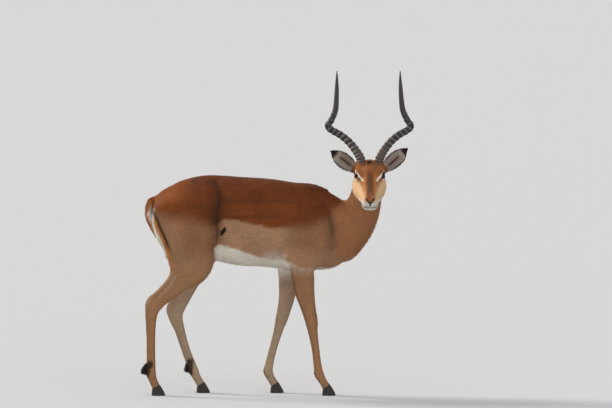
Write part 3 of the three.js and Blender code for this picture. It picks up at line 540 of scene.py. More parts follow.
def pathDistance2(points, path):
    # Squared distance to the nearest piece of a path.
    best = np.full(len(points), 1e9)
    for a, b in zip(path[:-1], path[1:]):
        axis = b - a
        t = np.clip((points - a) @ axis / max(axis @ axis, 1e-9), 0, 1)
        q = points - a - t[:, None] * axis
        best = np.minimum(best, dot(q, q))
    return best


def skinField(points):
    # Flesh less the coat's depth, less each fold's bell curve, with a lid and an opening at each eye.
    value = fleshAt(points) + coatDepth(points)
    for path, width, height in folds:
        reach = 2.6 * width
        near = np.flatnonzero(
            ((points > path.min(0) - reach) & (points < path.max(0) + reach)).all(1)
            & (np.abs(value) < 40)
        )
        if len(near):
            value[near] -= height * np.exp(-pathDistance2(points[near], path) / width ** 2)
    for name in sides:
        off = points - eyeAxes[name]["centre"]
        near = np.flatnonzero(dot(off, off) < 60 ** 2)
        if len(near):
            gap, far = eyeOpening(points[near], name)
            lid = smoothMin(value[near], far - eyeLook["radius"] - 2.2, 9)
            hole = np.maximum(gap, eyeLook["radius"] - 0.9 - far)
            value[near] = -smoothMin(-lid, hole, 2.0)
    return value


# ---- contour of a field: one vertex in each cell that the surface crosses ----

# The lattice is finer round the head and the tail, where distance from a middle is squeezed.
headMiddle = headOrigin + np.array([2.0, -22.0, -20.0])
headSqueeze = {"reach": 182, "share": 0.19, "blend": 180}
tailSqueeze = {"reach": 120, "share": 0.5, "blend": 80}
tailMiddle = np.array([-546.0, midY, 730.0])


def squeezed(distance, look):
    # World distance from lattice distance: slope share inside, rising to 1 outside.
    share, blend = look["share"], look["blend"]
    start = look["reach"] / share
    beyond = np.maximum(distance - start, 0)
    outside = beyond - (1 - share) * blend * (1 - np.exp(-beyond / blend))
    return share * np.minimum(distance, start) + outside


def squeeze(points, start, end, look):
    # Moves points along their line from start, which itself goes to end.
    q = points - start
    distance = np.linalg.norm(q, axis=-1, keepdims=True)
    return end + q / np.maximum(distance, 1e-6) * squeezed(distance, look)


def unsqueeze(points, start, end, look):
    # Undoes squeeze, with its distances read backwards from a table.
    q = points - end
    distance = np.linalg.norm(q, axis=-1, keepdims=True)
    table = np.arange(0, 6000, 1.0)
    back = np.interp(distance, squeezed(table, look), table)
    return start + q / np.maximum(distance, 1e-6) * back


tailPlace = unsqueeze(tailMiddle, np.zeros(3), headMiddle, headSqueeze)


def latticeToWorld(lattice):
    # Squeezed round the tail, then round the head, and lowered steps in the legs.
    points = squeeze(lattice, tailPlace, tailPlace, tailSqueeze)
    points = squeeze(points, np.zeros(3), headMiddle, headSqueeze)
    below = np.minimum(points[..., 2] - skinLook["legTop"], 0)
    points[..., 2] -= below * (1 - skinLook["legShare"])
    return points


def worldToLattice(points):
    # The same three steps undone in turn.
    points = points.copy()
    below = np.minimum(points[..., 2] - skinLook["legTop"], 0)
    points[..., 2] += below * (1 / skinLook["legShare"] - 1)
    points = unsqueeze(points, np.zeros(3), headMiddle, headSqueeze)
    return unsqueeze(points, tailPlace, tailPlace, tailSqueeze)


def latticeBox(low, high):
    # The lattice's reach for a box in the world, from points strewn through the box.
    grid = np.stack(np.meshgrid(*[np.linspace(low[a], high[a], 12) for a in range(3)], indexing="ij"), -1)
    places = worldToLattice(grid.reshape(-1, 3))
    return places.min(0), places.max(0)


def contour(field, low, high, cell):
    # A vertex in each crossed cell, at the mean of the crossings on its edges, and a quad round each
    # crossed edge.
    block = 4
    start, end = latticeBox(low, high)
    blocks = np.ceil((end - start) / (cell * block)).astype(int)
    count = blocks * block + 1

    def place(index):
        return latticeToWorld(start + index * cell)

    # Blocks that may hold the surface.
    index = np.stack(np.meshgrid(*[np.arange(n) for n in blocks], indexing="ij"), -1).reshape(-1, 3)
    centre = place((index + 0.5) * block)
    reach = np.zeros(len(index))
    for corner in ((0, 0, 0), (1, 1, 1), (0, 1, 1), (1, 0, 0)):
        away = np.linalg.norm(place((index + np.array(corner)) * block) - centre, axis=1)
        reach = np.maximum(reach, away)
    value = fleshAt(centre)
    active = np.abs(value) < 1.25 * reach + 9
    points = np.zeros(count, bool)
    values = np.zeros(count, np.float32)
    spread = np.repeat(np.repeat(np.repeat(value.reshape(blocks), block, 0), block, 1), block, 2)
    values[:-1, :-1, :-1] = spread
    for axis in range(3):
        edge = [slice(None)] * 3
        inner = [slice(None)] * 3
        edge[axis], inner[axis] = -1, -2
        values[tuple(edge)] = values[tuple(inner)]
    on = active.reshape(blocks)
    cells = np.repeat(np.repeat(np.repeat(on, block, 0), block, 1), block, 2)
    corners = [(i & 1, i >> 1 & 1, i >> 2 & 1) for i in range(8)]

    def window(corner):
        return tuple(slice(a, a + n) for a, n in zip(corner, cells.shape))

    for corner in corners:
        points[window(corner)] |= cells
    inside = np.argwhere(points)
    for a in range(0, len(inside), 200000):
        part = inside[a:a + 200000]
        values[tuple(part.T)] = field(place(part))
    print("contour: evaluated", len(inside), "of", values.size)

    below = values < 0
    total = sum(below[window(corner)].astype(np.int8) for corner in corners)
    crossed = (total > 0) & (total < 8)
    where = np.argwhere(crossed)
    number = np.full(cells.shape, -1, np.int64)
    number[crossed] = np.arange(len(where))
    sums = np.zeros((len(where), 3))
    hits = np.zeros(len(where))
    for axis in range(3):
        for corner in corners:
            if corner[axis]:
                continue
            far = list(corner)
            far[axis] = 1
            a = values[tuple((where + corner).T)]
            b = values[tuple((where + far).T)]
            cut = (a < 0) != (b < 0)
            t = np.where(cut, a / np.where(cut, a - b, 1), 0)
            crossing = where + np.array(corner, float)
            crossing[:, axis] += t
            sums += crossing * cut[:, None]
            hits += cut
    vertices = place(sums / hits[:, None])

    quads = []
    for axis in range(3):
        first, second = [a for a in range(3) if a != axis]
        before, after = [slice(None)] * 3, [slice(None)] * 3
        before[axis], after[axis] = slice(None, -1), slice(1, None)
        edge = np.argwhere(below[tuple(before)] != below[tuple(after)])
        edge = edge[(edge[:, first] > 0) & (edge[:, second] > 0)]
        edge = edge[(edge[:, first] < cells.shape[first]) & (edge[:, second] < cells.shape[second])]
        ring = []
        for step in ((0, 0), (1, 0), (1, 1), (0, 1)):
            c = edge.copy()
            c[:, first] -= step[0]
            c[:, second] -= step[1]
            ring.append(number[tuple(c.T)])
        ring = np.stack(ring, 1)
        flip = below[tuple(edge.T)] ^ (axis == 1)
        ring[flip] = ring[flip][:, ::-1]
        quads.append(ring)
    quads = np.vstack(quads)
    return vertices, quads[:, ::-1]


def neighbourMean(values, quads):
    # The mean of each point's neighbours along the edges.
    total = np.zeros_like(values)
    number = np.zeros(len(values))
    for k in range(4):
        a, b = quads[:, k], quads[:, (k + 1) % 4]
        for p, q in ((a, b), (b, a)):
            number += np.bincount(p, minlength=len(values))
            for axis in range(values.shape[1]):
                total[:, axis] += np.bincount(p, values[q, axis], minlength=len(values))
    return total / np.maximum(number, 1)[:, None]


def faceNormals(vertices, quads):
    # The cross product of the diagonals, twice the face's area long.
    a, b, c, d = (vertices[quads[:, k]] for k in range(4))
    return np.cross(c - a, d - b)


def vertexNormals(vertices, quads):
    # The sum of the faces' normals round each point, made one long.
    normal = faceNormals(vertices, quads)
    total = np.zeros_like(vertices)
    for k in range(4):
        for axis in range(3):
            total[:, axis] += np.bincount(quads[:, k], normal[:, axis], minlength=len(vertices))
    return unit(total)


def makeMesh(name, vertices, faces, material):
    # Points in millimetres and an array of faces, all with the same number of corners.
    mesh = bpy.data.meshes.new(name)
    corners = faces.shape[1]
    mesh.vertices.add(len(vertices))
    mesh.vertices.foreach_set("co", (vertices * 0.001).astype(np.float32).ravel())
    mesh.loops.add(faces.size)
    mesh.loops.foreach_set("vertex_index", faces.astype(np.int32).ravel())
    mesh.polygons.add(len(faces))
    mesh.polygons.foreach_set("loop_start", np.arange(0, faces.size, corners, dtype=np.int32))
    mesh.polygons.foreach_set("use_smooth", np.ones(len(faces), bool))
    mesh.update(calc_edges=True)
    mesh.materials.append(material)
    piece = bpy.data.objects.new(name, mesh)
    bpy.context.scene.collection.objects.link(piece)
    return piece


def setColour(piece, colours):
    layer = piece.data.color_attributes.new("coatColour", "FLOAT_COLOR", "POINT")
    rgba = np.ones((len(colours), 4), np.float32)
    rgba[:, :3] = colours
    layer.data.foreach_set("color", rgba.ravel())
    piece.data.color_attributes.active_color = layer


def joinModel(piece, slot, *nodes):
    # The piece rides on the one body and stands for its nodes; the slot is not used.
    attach(piece, "root")
    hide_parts(*nodes)


skinVertices, skinQuads = contour(
    skinField, np.array([-595.0, -225, 20]), np.array([580.0, midY + 140, 1065]), skinLook["cell"]
)
print("skin: quads", len(skinQuads))
skinVertices = ontoSurface(skinField, skinVertices, rounds=2)
for _ in range(2):
    normal = vertexNormals(skinVertices, skinQuads)
    shift = neighbourMean(skinVertices, skinQuads) - skinVertices
    shift -= normal * dot(shift, normal)[:, None]
    skinVertices = ontoSurface(skinField, skinVertices + 0.6 * shift, rounds=1)
# Small steps between cells are smoothed away from the head: in by a share, then out again.
calm = smoothStep(120, 200, np.linalg.norm(skinVertices - headMiddle, axis=1))[:, None]
for share in (0.5, -0.53, 0.5, -0.53):
    skinVertices = skinVertices + share * calm * (neighbourMean(skinVertices, skinQuads) - skinVertices)
skinNormals = vertexNormals(skinVertices, skinQuads)
print("skin: made")


# ---- colours of the coat ----

def colour(red, green, blue):
    # Linear colour from everyday 0 to 255 values.
    c = np.array([red, green, blue]) / 255
    return np.where(c < 0.04045, c / 12.92, ((c + 0.055) / 1.055) ** 2.4)


# The black tufts above the hind hooves; the coat round them takes their colour too.
glandLook = {
    "tufts": 2600,
    "length": 21,
    "width": 1.5,
    "black": colour(20, 16, 15),
    "brown": colour(58, 38, 28),
    "right": [[-553, 61, 138, 9, 9, 0], [-562, 61, 116, 13, 15, 0], [-570, 61, 95, 7, 9, 0]],
    "left": [[-384, 61, 136, 9, 9, 0], [-385, 61, 114, 13, 15, 0], [-388, 61, 92, 7, 9, 0]],
}
coatLook = {
    "saddle": colour(130, 66, 24),
    # The darker saddle brown is both a real darker brown in patches and painted shade by the hip and the
    # shoulder; the lit saddle brown is painted light on the croup.
    "saddleDark": colour(84, 42, 17),
    "saddleLit": colour(158, 84, 30),
    # Painted shade for the creases before the hip and before the shoulder.
    "creaseShade": colour(48, 25, 13),
    "flank": colour(180, 138, 105),
    "thigh": colour(156, 108, 76),
    "white": colour(234, 226, 212),
    "leg": colour(168, 124, 88),
    "legInner": colour(178, 154, 128),
    "legFront": colour(150, 100, 64),
    "neck": colour(166, 106, 60),
    "black": colour(24, 19, 17),
    "chestnut": colour(150, 90, 50),
    "blaze": colour(88, 64, 52),
    "orange": colour(198, 124, 62),
    "cheek": colour(220, 184, 142),
    "muzzle": colour(214, 206, 198),
    "noseBlack": colour(26, 23, 23),
    "earInside": colour(188, 174, 162),
    "earDark": colour(70, 38, 28),
    # The saddle's lower edge and the belly's upper edge are along and up; the rump's line is up and along.
    "saddleEdge": [[-570, 800], [-541, 790], [-470, 776], [-400, 766], [-300, 742], [-252, 726], [-226, 752],
                   [-170, 748], [-76, 731], [-17, 718], [60, 716], [130, 728], [200, 760], [260, 800]],
    "bellyEdge": [[-330, 560], [-290, 610], [-244, 650], [-196, 632], [-110, 606], [-78, 593], [-4, 581],
                  [38, 574], [100, 552], [160, 547], [200, 549], [240, 541], [262, 530]],
    "rumpStripe": [[470, -436], [560, -444], [612, -454], [644, -466], [668, -475], [698, -490], [735, -505],
                   [771, -520], [792, -533], [830, -545]],
}


def flankPatch(x, z):
    # A leaning black lozenge; 1 at its edge, less inside.
    return np.abs(x + 226 - 0.5 * (z - 704)) / 13.5 + np.abs(z - 704) / 22


def blendIn(base, tint, share):
    # From the base to the tint by a share for each point.
    return base + (tint - base) * np.clip(share, 0, 1)[:, None]


def spot(value, centre, width):
    # A bell curve, 1 at the centre.
    return np.exp(-((value - centre) / width) ** 2)


def nearPath(points, path):
    # Distance to a path.
    return np.sqrt(pathDistance2(points, np.asarray(path, float)))


def groupShares(points, softness=9.0):
    # How much each form makes up the flesh at each point; they add up to 1.
    names = list(groups)
    values = np.full((len(points), len(names)), 90.0)
    for column, name in enumerate(names):
        for form, _ in groups[name]:
            near = np.flatnonzero((np.maximum(form.low - points, points - form.high).max(1) < 40))
            if len(near):
                values[near, column] = np.minimum(values[near, column], form.at(points[near]))
    weights = np.exp(-(values - values.min(1, keepdims=True)) / softness)
    weights /= weights.sum(1, keepdims=True)
    return names, weights


def foldShade(points):
    # Painted shade where a fold sinks the skin, and a little painted light where a fold raises it.
    shade = np.zeros(len(points))
    for path, width, height in folds:
        reach = 2.2 * width
        near = np.flatnonzero(((points > path.min(0) - reach) & (points < path.max(0) + reach)).all(1))
        if len(near):
            gauss = np.exp(-pathDistance2(points[near], path) / (0.75 * width) ** 2)
            shade[near] += np.clip(height, -8, 3) * gauss
    return np.clip(shade, -9, 3)


def headPath(rows):
    # A path on the face, brought onto the flesh, in head rows for the side where across is above nought.
    return headPlace(ontoSurface(fleshAt, headPoint(rows), rounds=4))


facePaths = {
    "brow": headPath([[-8, 56, 20], [6, 54, 19], [18, 49, 17], [28, 43, 14], [38, 36, 10], [48, 30, 5]]),
    "lowerLid": headPath([[-20, 62, -1], [-6, 64, -9], [12, 61, -8], [24, 53, -2]]),
    "tear": headPath([[14, 55, 7], [22, 50, 3], [30, 45, -2]]),
    "pad": headPath([[168, 0, -33], [171, 0, -38], [172, 0, -45], [172, 0, -53]]),
    "wing": headPath([[169, 3, -34], [165, 9, -29], [158, 17, -23], [149, 23, -20]]),
    "lips": headPath([[172, 0, -55], [166, 12, -56], [152, 24, -58], [130, 31, -61], [108, 33, -64]]),
}


def legColour(tint, points, normals, out, legs, plain):
    # Paler on the inner side and over the tendon above the heel, redder down the front and back.
    x, z = points[:, 0], points[:, 2]
    ahead = normals[:, 0]
    look = coatLook
    lowLeg = smoothStep(650, 500, z) * smoothStep(0.2, 0.7, legs)
    inner = smoothStep(0.1, 0.8, -normals[:, 1] * np.sign(out)) * smoothStep(680, 620, z)
    shin = smoothStep(0.3, 0.9, ahead) * smoothStep(520, 380, z)
    legTint = blendIn(plain("leg"), look["legFront"], shin * 0.6)
    legTint = blendIn(legTint, look["neck"], smoothStep(0.5, 0.95, -ahead) * smoothStep(300, 380, z) * 0.5)
    tendon = smoothStep(0.25, 0.8, -ahead) * smoothStep(350, 400, z) * smoothStep(560, 500, z)
    tendon *= smoothStep(-300, -340, x)
    legTint = blendIn(legTint, look["legInner"], np.maximum(inner * 0.9, tendon * 0.7))
    tint = tint + (legTint - tint) * lowLeg[:, None]
    armpit = smoothStep(0.1, 0.8, -normals[:, 2]) * smoothStep(640, 590, z) * smoothStep(500, 540, z)
    armpit *= smoothStep(-80, -20, x) * smoothStep(150, 120, x)
    innerTop = inner * smoothStep(470, 540, z) * smoothStep(-30, 10, x) * smoothStep(240, 190, x)
    tint = blendIn(tint, look["white"], np.maximum(armpit, innerTop) * 0.85)
    groin = inner * smoothStep(500, 600, z) * smoothStep(-200, -250, x)
    return blendIn(tint, look["white"], groin * 0.85)


def paintedCreaseShade(tint, points, normals, off, shift):
    # Painted shade in the creases before the hip and before the shoulder.
    x, z = points[:, 0], points[:, 2]
    flat = points[:, [0, 2]]
    sideways = np.abs(normals[:, 1])
    hip = nearPath(flat, skinLook["hipLine"]) + 0.5 * shift
    line = spot(hip, 0, 9) * smoothStep(600, 700, z) * smoothStep(935, 915, z)
    dark = np.maximum(line, spot(hip + (x > -250) * 14, 0, 30) * 0.4)
    tint = blendIn(tint, coatLook["creaseShade"], dark * (off > 45) * smoothStep(0.15, 0.5, sideways) * 0.8)
    front = nearPath(flat, skinLook["shoulderLine"]) + 0.5 * shift
    line = spot(front, 0, 13) * smoothStep(640, 690, z) * smoothStep(812, 770, z)
    dark = np.maximum(line, spot(front, -4, 34) * 0.45)
    return blendIn(tint, coatLook["creaseShade"], dark * smoothStep(0.2, 0.6, sideways) * 0.5)


def rumpColour(tint, points, off, shift, topShare, tail):
    # White behind, with an orange band and a black stripe down each haunch.
    x, z = points[:, 0], points[:, 2]
    look = coatLook
    stripe = np.interp(z, *np.array(look["rumpStripe"], float).T)
    outer = smoothStep(0, 12, off - 22 - 18 * smoothStep(720, 620, z))
    high = smoothStep(596, 660, z) * smoothStep(806, 792, z) * smoothStep(0.75, 0.45, tail) * outer
    below = smoothStep(808, 794, z)
    behind = smoothStep(500, 600, z) * below * smoothStep(-400, -420, x)
    band = behind * outer * smoothStep(-2, 4, stripe - x + 0.3 * shift)
    tint = blendIn(tint, look["orange"], band * 0.85)
    tint = blendIn(tint, look["white"], behind * smoothStep(13, 23, stripe - x + 0.5 * shift))
    between = smoothStep(54, 40, off) * smoothStep(-300, -380, x) * smoothStep(470, 560, z) * below
    tint = blendIn(tint, look["white"], between * (1 - topShare))
    line = spot(x - stripe + 0.2 * shift, 1, 6.5) * high * smoothStep(-400, -420, x)
    return blendIn(tint, look["black"], line)


def footColour(tint, points, out, shift):
    # Black hair at the forelegs' heels and round the gland tufts, and dusk above the hooves.
    x, z = points[:, 0], points[:, 2]
    dark = np.zeros(len(points))
    for name, side in sides.items():
        place = tubePath("fore_" + name, side, [[9.9, 270]])[0]
        far = np.linalg.norm((points - place) * [1, 1, 0.75], axis=1)
        dark = np.maximum(dark, smoothStep(16, 8, far))
        for along, up in np.array(glandLook[name], float)[:, [0, 2]]:
            far = np.hypot(x - along - 7, 0.62 * (z - up)) + 0.4 * shift
            near = smoothStep(17, 12, far) * (np.sign(out) == side)
            dark = np.maximum(dark, near * smoothStep(60, 80, z) * smoothStep(160, 140, z))
    tint = blendIn(tint, coatLook["black"], dark * 0.9)
    return blendIn(tint, coatLook["blaze"], smoothStep(34, 24, z) * 0.6)


def faceColour(points, shift, fine, ragged, plain):
    # The face's markings are placed along, across and above the palate.
    look = coatLook
    f, a, n = headPlace(points).T
    a = np.abs(a)
    mirror = np.stack([f, a, n], 1)
    near = {name: nearPath(mirror, path) for name, path in facePaths.items()}
    face = blendIn(plain("chestnut"), look["saddle"], smoothStep(0.2, 0.9, hashNoise(points, 9, 2)) * 0.4)
    bridge = spot(a, 22, 8) * smoothStep(20, 45, f) * smoothStep(140, 118, f)
    face = blendIn(face, look["orange"], bridge * 0.75)
    cheek = smoothStep(30, 48, a + 0.16 * (f - 20) + 0.2 * shift)
    face = blendIn(face, look["cheek"], cheek * smoothStep(6, -24, n))
    face = blendIn(face, look["neck"], smoothStep(-40, -70, f) * 0.7)
    face = blendIn(face, look["white"], smoothStep(-62, -92, n + 0.35 * (60 - f)) * 0.85)
    broad = 5 + 6 * smoothStep(-10, 40, f)
    dusk = smoothStep(broad + 8, broad - 5, a + 0.6 * shift) * smoothStep(2, 44, f) * smoothStep(140, 104, f)
    face = blendIn(face, look["blaze"], dusk * smoothStep(-60, -20, n) * (0.72 + 0.05 * fine))
    crown = smoothStep(13, 7, a + 0.5 * fine) * smoothStep(-66, -56, f) * smoothStep(-22, -34, f) * (n > 10)
    face = blendIn(face, look["black"], crown * 0.95)
    muzzle = smoothStep(116, 140, f - 0.5 * (n + 40) + 0.4 * shift)
    face = blendIn(face, look["muzzle"], muzzle * smoothStep(-30, -38, n + 0.25 * a + 0.3 * shift))
    face = blendIn(face, look["white"], smoothStep(-58, -68, n) * smoothStep(60, 90, f))
    face = blendIn(face, look["noseBlack"], smoothStep(4.2, 2.6, near["pad"]))
    face = blendIn(face, look["noseBlack"], smoothStep(6.2, 4.2, near["wing"] + 0.08 * a))
    face = blendIn(face, look["noseBlack"], smoothStep(3.0, 1.3, near["lips"]) * smoothStep(96, 140, f) * 0.85)
    for name in sides:
        gap, far = eyeOpening(points, name)
        gap = np.where(far < 48, gap + 0.6 * (far - 20).clip(0), 99)
        brow = smoothStep(5.6, 2.4, near["brow"] + 0.9 * fine + 0.3 * ragged)
        face = blendIn(face, look["white"], brow)
        face = blendIn(face, look["white"], smoothStep(5.5, 2.5, near["lowerLid"]) * 0.8)
        face = blendIn(face, look["noseBlack"], smoothStep(4.2, 2.2, gap))
    return blendIn(face, look["noseBlack"], smoothStep(5.0, 2.5, near["tear"]) * 0.85)


def earColour(name, points, normals, shift, blotch, fine, plain):
    # Grey inside with a dark centre under rows of pale hair, a black rim and tip.
    look = coatLook
    ear = groups["ear_" + name][0][0]
    u, v = ear.place(points)[:2]
    inside = smoothStep(0.0, 0.4, dot(normals, ear.facing))
    tint = blendIn(plain("neck"), look["earInside"], inside)
    hairRows = 0.5 + 0.5 * np.sin(2 * np.pi * (v / 0.21 + 0.12 * fine + 0.5 * u))
    middle = spot(v + 0.05 * blotch, 0.05, 0.62) * smoothStep(0.08, 0.25, u) * smoothStep(0.8, 0.55, u)
    middle *= 1 - 0.6 * hairRows * smoothStep(0.06, 0.2, np.abs(v - 0.05))
    tint = blendIn(tint, look["earDark"], inside * middle * 0.95)
    tint = blendIn(tint, look["earDark"], inside * smoothStep(0.2, 0.02, u) * 0.8)
    rim = smoothStep(0.84, 0.97, np.abs(v)) * smoothStep(0.05, 0.3, u)
    tint = blendIn(tint, look["black"], rim * 0.8)
    return blendIn(tint, look["black"], smoothStep(0.72, 0.82, u + 0.006 * shift))


def coatColour(points, normals, shares, ragged=0.0):
    # The markings, from the place on the body and on the head, with painted shade in the creases, folds, hip
    # and shoulder and painted light on the croup and ridges. Ragged shifts each point's own edges.
    names, weights = shares
    w = {name: weights[:, i] for i, name in enumerate(names)}
    x, z = points[:, 0], points[:, 2]
    out = points[:, 1] - midY
    off = np.abs(out)
    blotch = hashNoise(points, 60, 3)
    fine = hashNoise(points, 14, 5)
    shift = ragged + 4 * blotch + 3 * fine
    look = coatLook

    def edge(name):
        return np.interp(x, *np.array(look[name], float).T)

    def plain(name):
        return np.tile(look[name], (len(points), 1))

    haunch = smoothStep(-232, -262, x)
    soft = 7 + 30 * smoothStep(-20, 120, x) + 30 * haunch
    topShare = smoothStep(-1, 1, (z - edge("saddleEdge") + shift) / soft)
    lower = plain("flank")
    lower = blendIn(lower, look["thigh"], smoothStep(-200, -262, x) * smoothStep(520, 640, z))
    lower = blendIn(lower, look["thigh"], smoothStep(20, 110, x) * smoothStep(560, 660, z) * 0.9)
    lower = blendIn(lower, look["flank"], spot(x, -455, 60) * smoothStep(800, 690, z) * 0.6)
    tint = blendIn(lower, look["saddle"], topShare)
    patches = hashNoise(points * [0.4, 1, 1.6], 34, 12)
    # Darker towards the top of the back and along the spine; painted light on the croup; painted shade by the
    # hip and by the shoulder; darker patches at random.
    for name, share in (
        ("saddleDark", smoothStep(-1, 1, (z - 850) / 60) * 0.35),
        ("saddleDark", smoothStep(16, 4, off) * smoothStep(880, 900, z) * 0.6),
        ("saddleLit", smoothStep(-330, -470, x) * smoothStep(770, 860, z) * 0.9),
        ("saddleDark", spot(x, -275, 60) * smoothStep(880, 780, z) * 0.7),
        ("saddleDark", spot(x, 150, 60) * 0.35),
        ("saddleDark", smoothStep(0.25, 0.8, patches) * 0.4),
    ):
        tint = blendIn(tint, look[name], topShare * share)
    under = smoothStep(-1, 1, (edge("bellyEdge") - z + 0.6 * shift) / 4.5)
    tint = blendIn(tint, look["white"], under * smoothStep(-270, -258, x) * smoothStep(285, 255, x))

    back = normals[:, 1] * 0.75 + 0.25 * smoothStep(760, 900, z)
    neckTint = blendIn(plain("neck"), look["saddle"], smoothStep(0.1, 0.9, back) * 0.8)
    neckTint = blendIn(neckTint, look["flank"], smoothStep(0.0, -0.9, normals[:, 1]) * 0.3)
    throat = smoothStep(0.1, 0.8, -normals[:, 2]) * smoothStep(800, 850, z)
    neckTint = blendIn(neckTint, look["cheek"], throat * 0.8)
    tint = tint + (neckTint - tint) * smoothStep(0.25, 0.75, w["neck"])[:, None]

    legs = sum(w[k + "_" + s] for k in ("hind", "fore") for s in sides)
    tint = legColour(tint, points, normals, out, legs, plain)
    # Painted shade in the creases before the hip and before the shoulder.
    tint = paintedCreaseShade(tint, points, normals, off, shift)
    tint = rumpColour(tint, points, off, shift, topShare, w["tail"])
    fleck = flankPatch(x, z) + 0.03 * shift
    tint = blendIn(tint, look["black"], smoothStep(1.1, 0.9, fleck) * (off > 60))
    tail = smoothStep(0.35, 0.7, w["tail"]) * smoothStep(-522, -534, x)
    upper = smoothStep(-0.45, 0.05, -normals[:, 0])
    tailTint = blendIn(plain("white"), look["saddle"], upper)
    tailTint = blendIn(tailTint, look["black"], upper * spot(out, 0, 5) * smoothStep(800, 770, z))
    tailTint = blendIn(tailTint, look["orange"], upper * smoothStep(8, 14, off) * 0.6)
    tint = tint + (tailTint - tint) * tail[:, None]
    tint = footColour(tint, points, out, shift)
    faceTint = faceColour(points, shift, fine, ragged, plain)
    tint = tint + (faceTint - tint) * smoothStep(0.3, 0.7, w["head"])[:, None]
    for name in sides:
        earTint = earColour(name, points, normals, shift, blotch, fine, plain)
        tint = tint + (earTint - tint) * smoothStep(0.35, 0.7, w["ear_" + name])[:, None]
    # Painted shade in the folds' hollows and a little painted light on their ridges, left off the head.
    creases = np.where(w["head"] > 0.5, 0, 0.032) * foldShade(points)
    return np.clip(tint * (1 + 0.09 * blotch + 0.05 * fine + creases)[:, None], 0, 1)


# ---- materials ----

def newMaterial(name, roughness=0.8, base=(0.5, 0.5, 0.5)):
    material = bpy.data.materials.new(name)
    material.use_nodes = True
    shader = material.node_tree.nodes["Principled BSDF"]
    shader.inputs["Roughness"].default_value = roughness
    shader.inputs["Base Color"].default_value = (*base, 1)
    return material, material.node_tree, shader


def node(tree, kind, **inputs):
    # A new node with the given values on its sockets; an underscore stands for a space.
    made = tree.nodes.new(kind)
    for key, value in inputs.items():
        made.inputs[key.replace("_", " ")].default_value = value
    return made


def streakNoise(tree, place, scales):
    # Noise drawn out along one axis; scales are per millimetre.
    stretch = tree.nodes.new("ShaderNodeMapping")
    stretch.inputs["Scale"].default_value = tuple(1000 * s for s in scales)
    hairs = node(tree, "ShaderNodeTexNoise", Scale=1.0, Detail=4.0, Roughness=0.65)
    tree.links.new(place.outputs["Object"], stretch.inputs["Vector"])
    tree.links.new(stretch.outputs["Vector"], hairs.inputs["Vector"])
    return hairs.outputs["Fac"]


def coatMaterial(name, bumpDepth, roughness=0.78):
    # Vertex colour with fine hair streaks in colour and height: along the trunk, and down neck and legs.
    material, tree, shader = newMaterial(name, roughness)
    link = tree.links.new
    paint = tree.nodes.new("ShaderNodeVertexColor")
    paint.layer_name = "coatColour"
    place = tree.nodes.new("ShaderNodeTexCoord")
    upright = tree.nodes.new("ShaderNodeAttribute")
    upright.attribute_name = "upright"
    hairs = tree.nodes.new("ShaderNodeMix")
    link(upright.outputs["Fac"], hairs.inputs["Factor"])
    link(streakNoise(tree, place, (0.035, 0.3, 0.3)), hairs.inputs["A"])
    link(streakNoise(tree, place, (0.42, 0.42, 0.06)), hairs.inputs["B"])
    shade = node(tree, "ShaderNodeMapRange", From_Min=0.3, From_Max=0.7, To_Min=0.78, To_Max=1.18)
    link(hairs.outputs["Result"], shade.inputs["Value"])
    tinted = tree.nodes.new("ShaderNodeVectorMath")
    tinted.operation = "SCALE"
    link(paint.outputs["Color"], tinted.inputs[0])
    link(shade.outputs["Result"], tinted.inputs["Scale"])
    link(tinted.outputs["Vector"], shader.inputs["Base Color"])
    bump = node(tree, "ShaderNodeBump", Strength=0.6, Distance=bumpDepth)
    link(hairs.outputs["Result"], bump.inputs["Height"])
    link(bump.outputs["Normal"], shader.inputs["Normal"])
    shader.inputs["Specular IOR Level"].default_value = 0.22
    shader.inputs["Sheen Weight"].default_value = 0.05
    shader.inputs["Sheen Roughness"].default_value = 0.45
    return material


def setShare(piece, name, values):
    # One number for each point, which a material reads by name.
    layer = piece.data.attributes.new(name, "FLOAT", "POINT")
    layer.data.foreach_set("value", np.ascontiguousarray(values, np.float32))


skinMaterial = coatMaterial("short coat", 0.0007)
skin = makeMesh("skin", skinVertices, skinQuads, skinMaterial)
skinShares = groupShares(skinVertices)
setColour(skin, coatColour(skinVertices, skinNormals, skinShares))
setShare(skin, "upright", 1 - skinShares[1][:, skinShares[0].index("trunk")])
fleshNodes = [
    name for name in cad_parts
    if not name.startswith(("horn", "eye", "gland")) and "hoof" not in name
]
joinModel(skin, "flank_coat", *fleshNodes)
print("skin: painted")


# ---- tufts of the coat ----

tuftLook = {
    "seed": 11,
    "sink": 0.7,
    "most": 64000,
    # For each part: length, width, height of the tip and how many times over the tufts cover the skin.
    "trunk": (12.5, 1.35, 1.5, 1.3),
    "neck": (12.5, 1.3, 1.8, 1.3),
    "shoulder": (11.5, 1.3, 1.5, 1.3),
    "hind": (11.5, 1.3, 1.5, 1.3),
    "fore": (9.5, 1.2, 1.3, 1.2),
    "lowerLeg": (6.0, 0.9, 0.7, 1.1),
    "foot": (4.5, 0.8, 0.6, 1.2),
    "heel": (11, 1.1, 2.2, 1.6),
    "rump": (14, 1.25, 1.8, 1.8),
    "fleck": (8, 1.4, 1.2, 2.6),
    "belly": (16, 1.4, 2.4, 1.4),
    "throat": (16, 1.4, 2.8, 1.4),
    "crown": (10, 1.0, 2.0, 1.5),
    "tail": (24, 1.3, 2.6, 7),
    "head": (5.2, 0.85, 0.6, 1.1),
    "muzzle": (3.2, 0.65, 0.4, 1.0),
    "ear": (5.0, 0.75, 0.6, 1.2),
    "earInside": (13, 0.8, 2.6, 1.5),
}


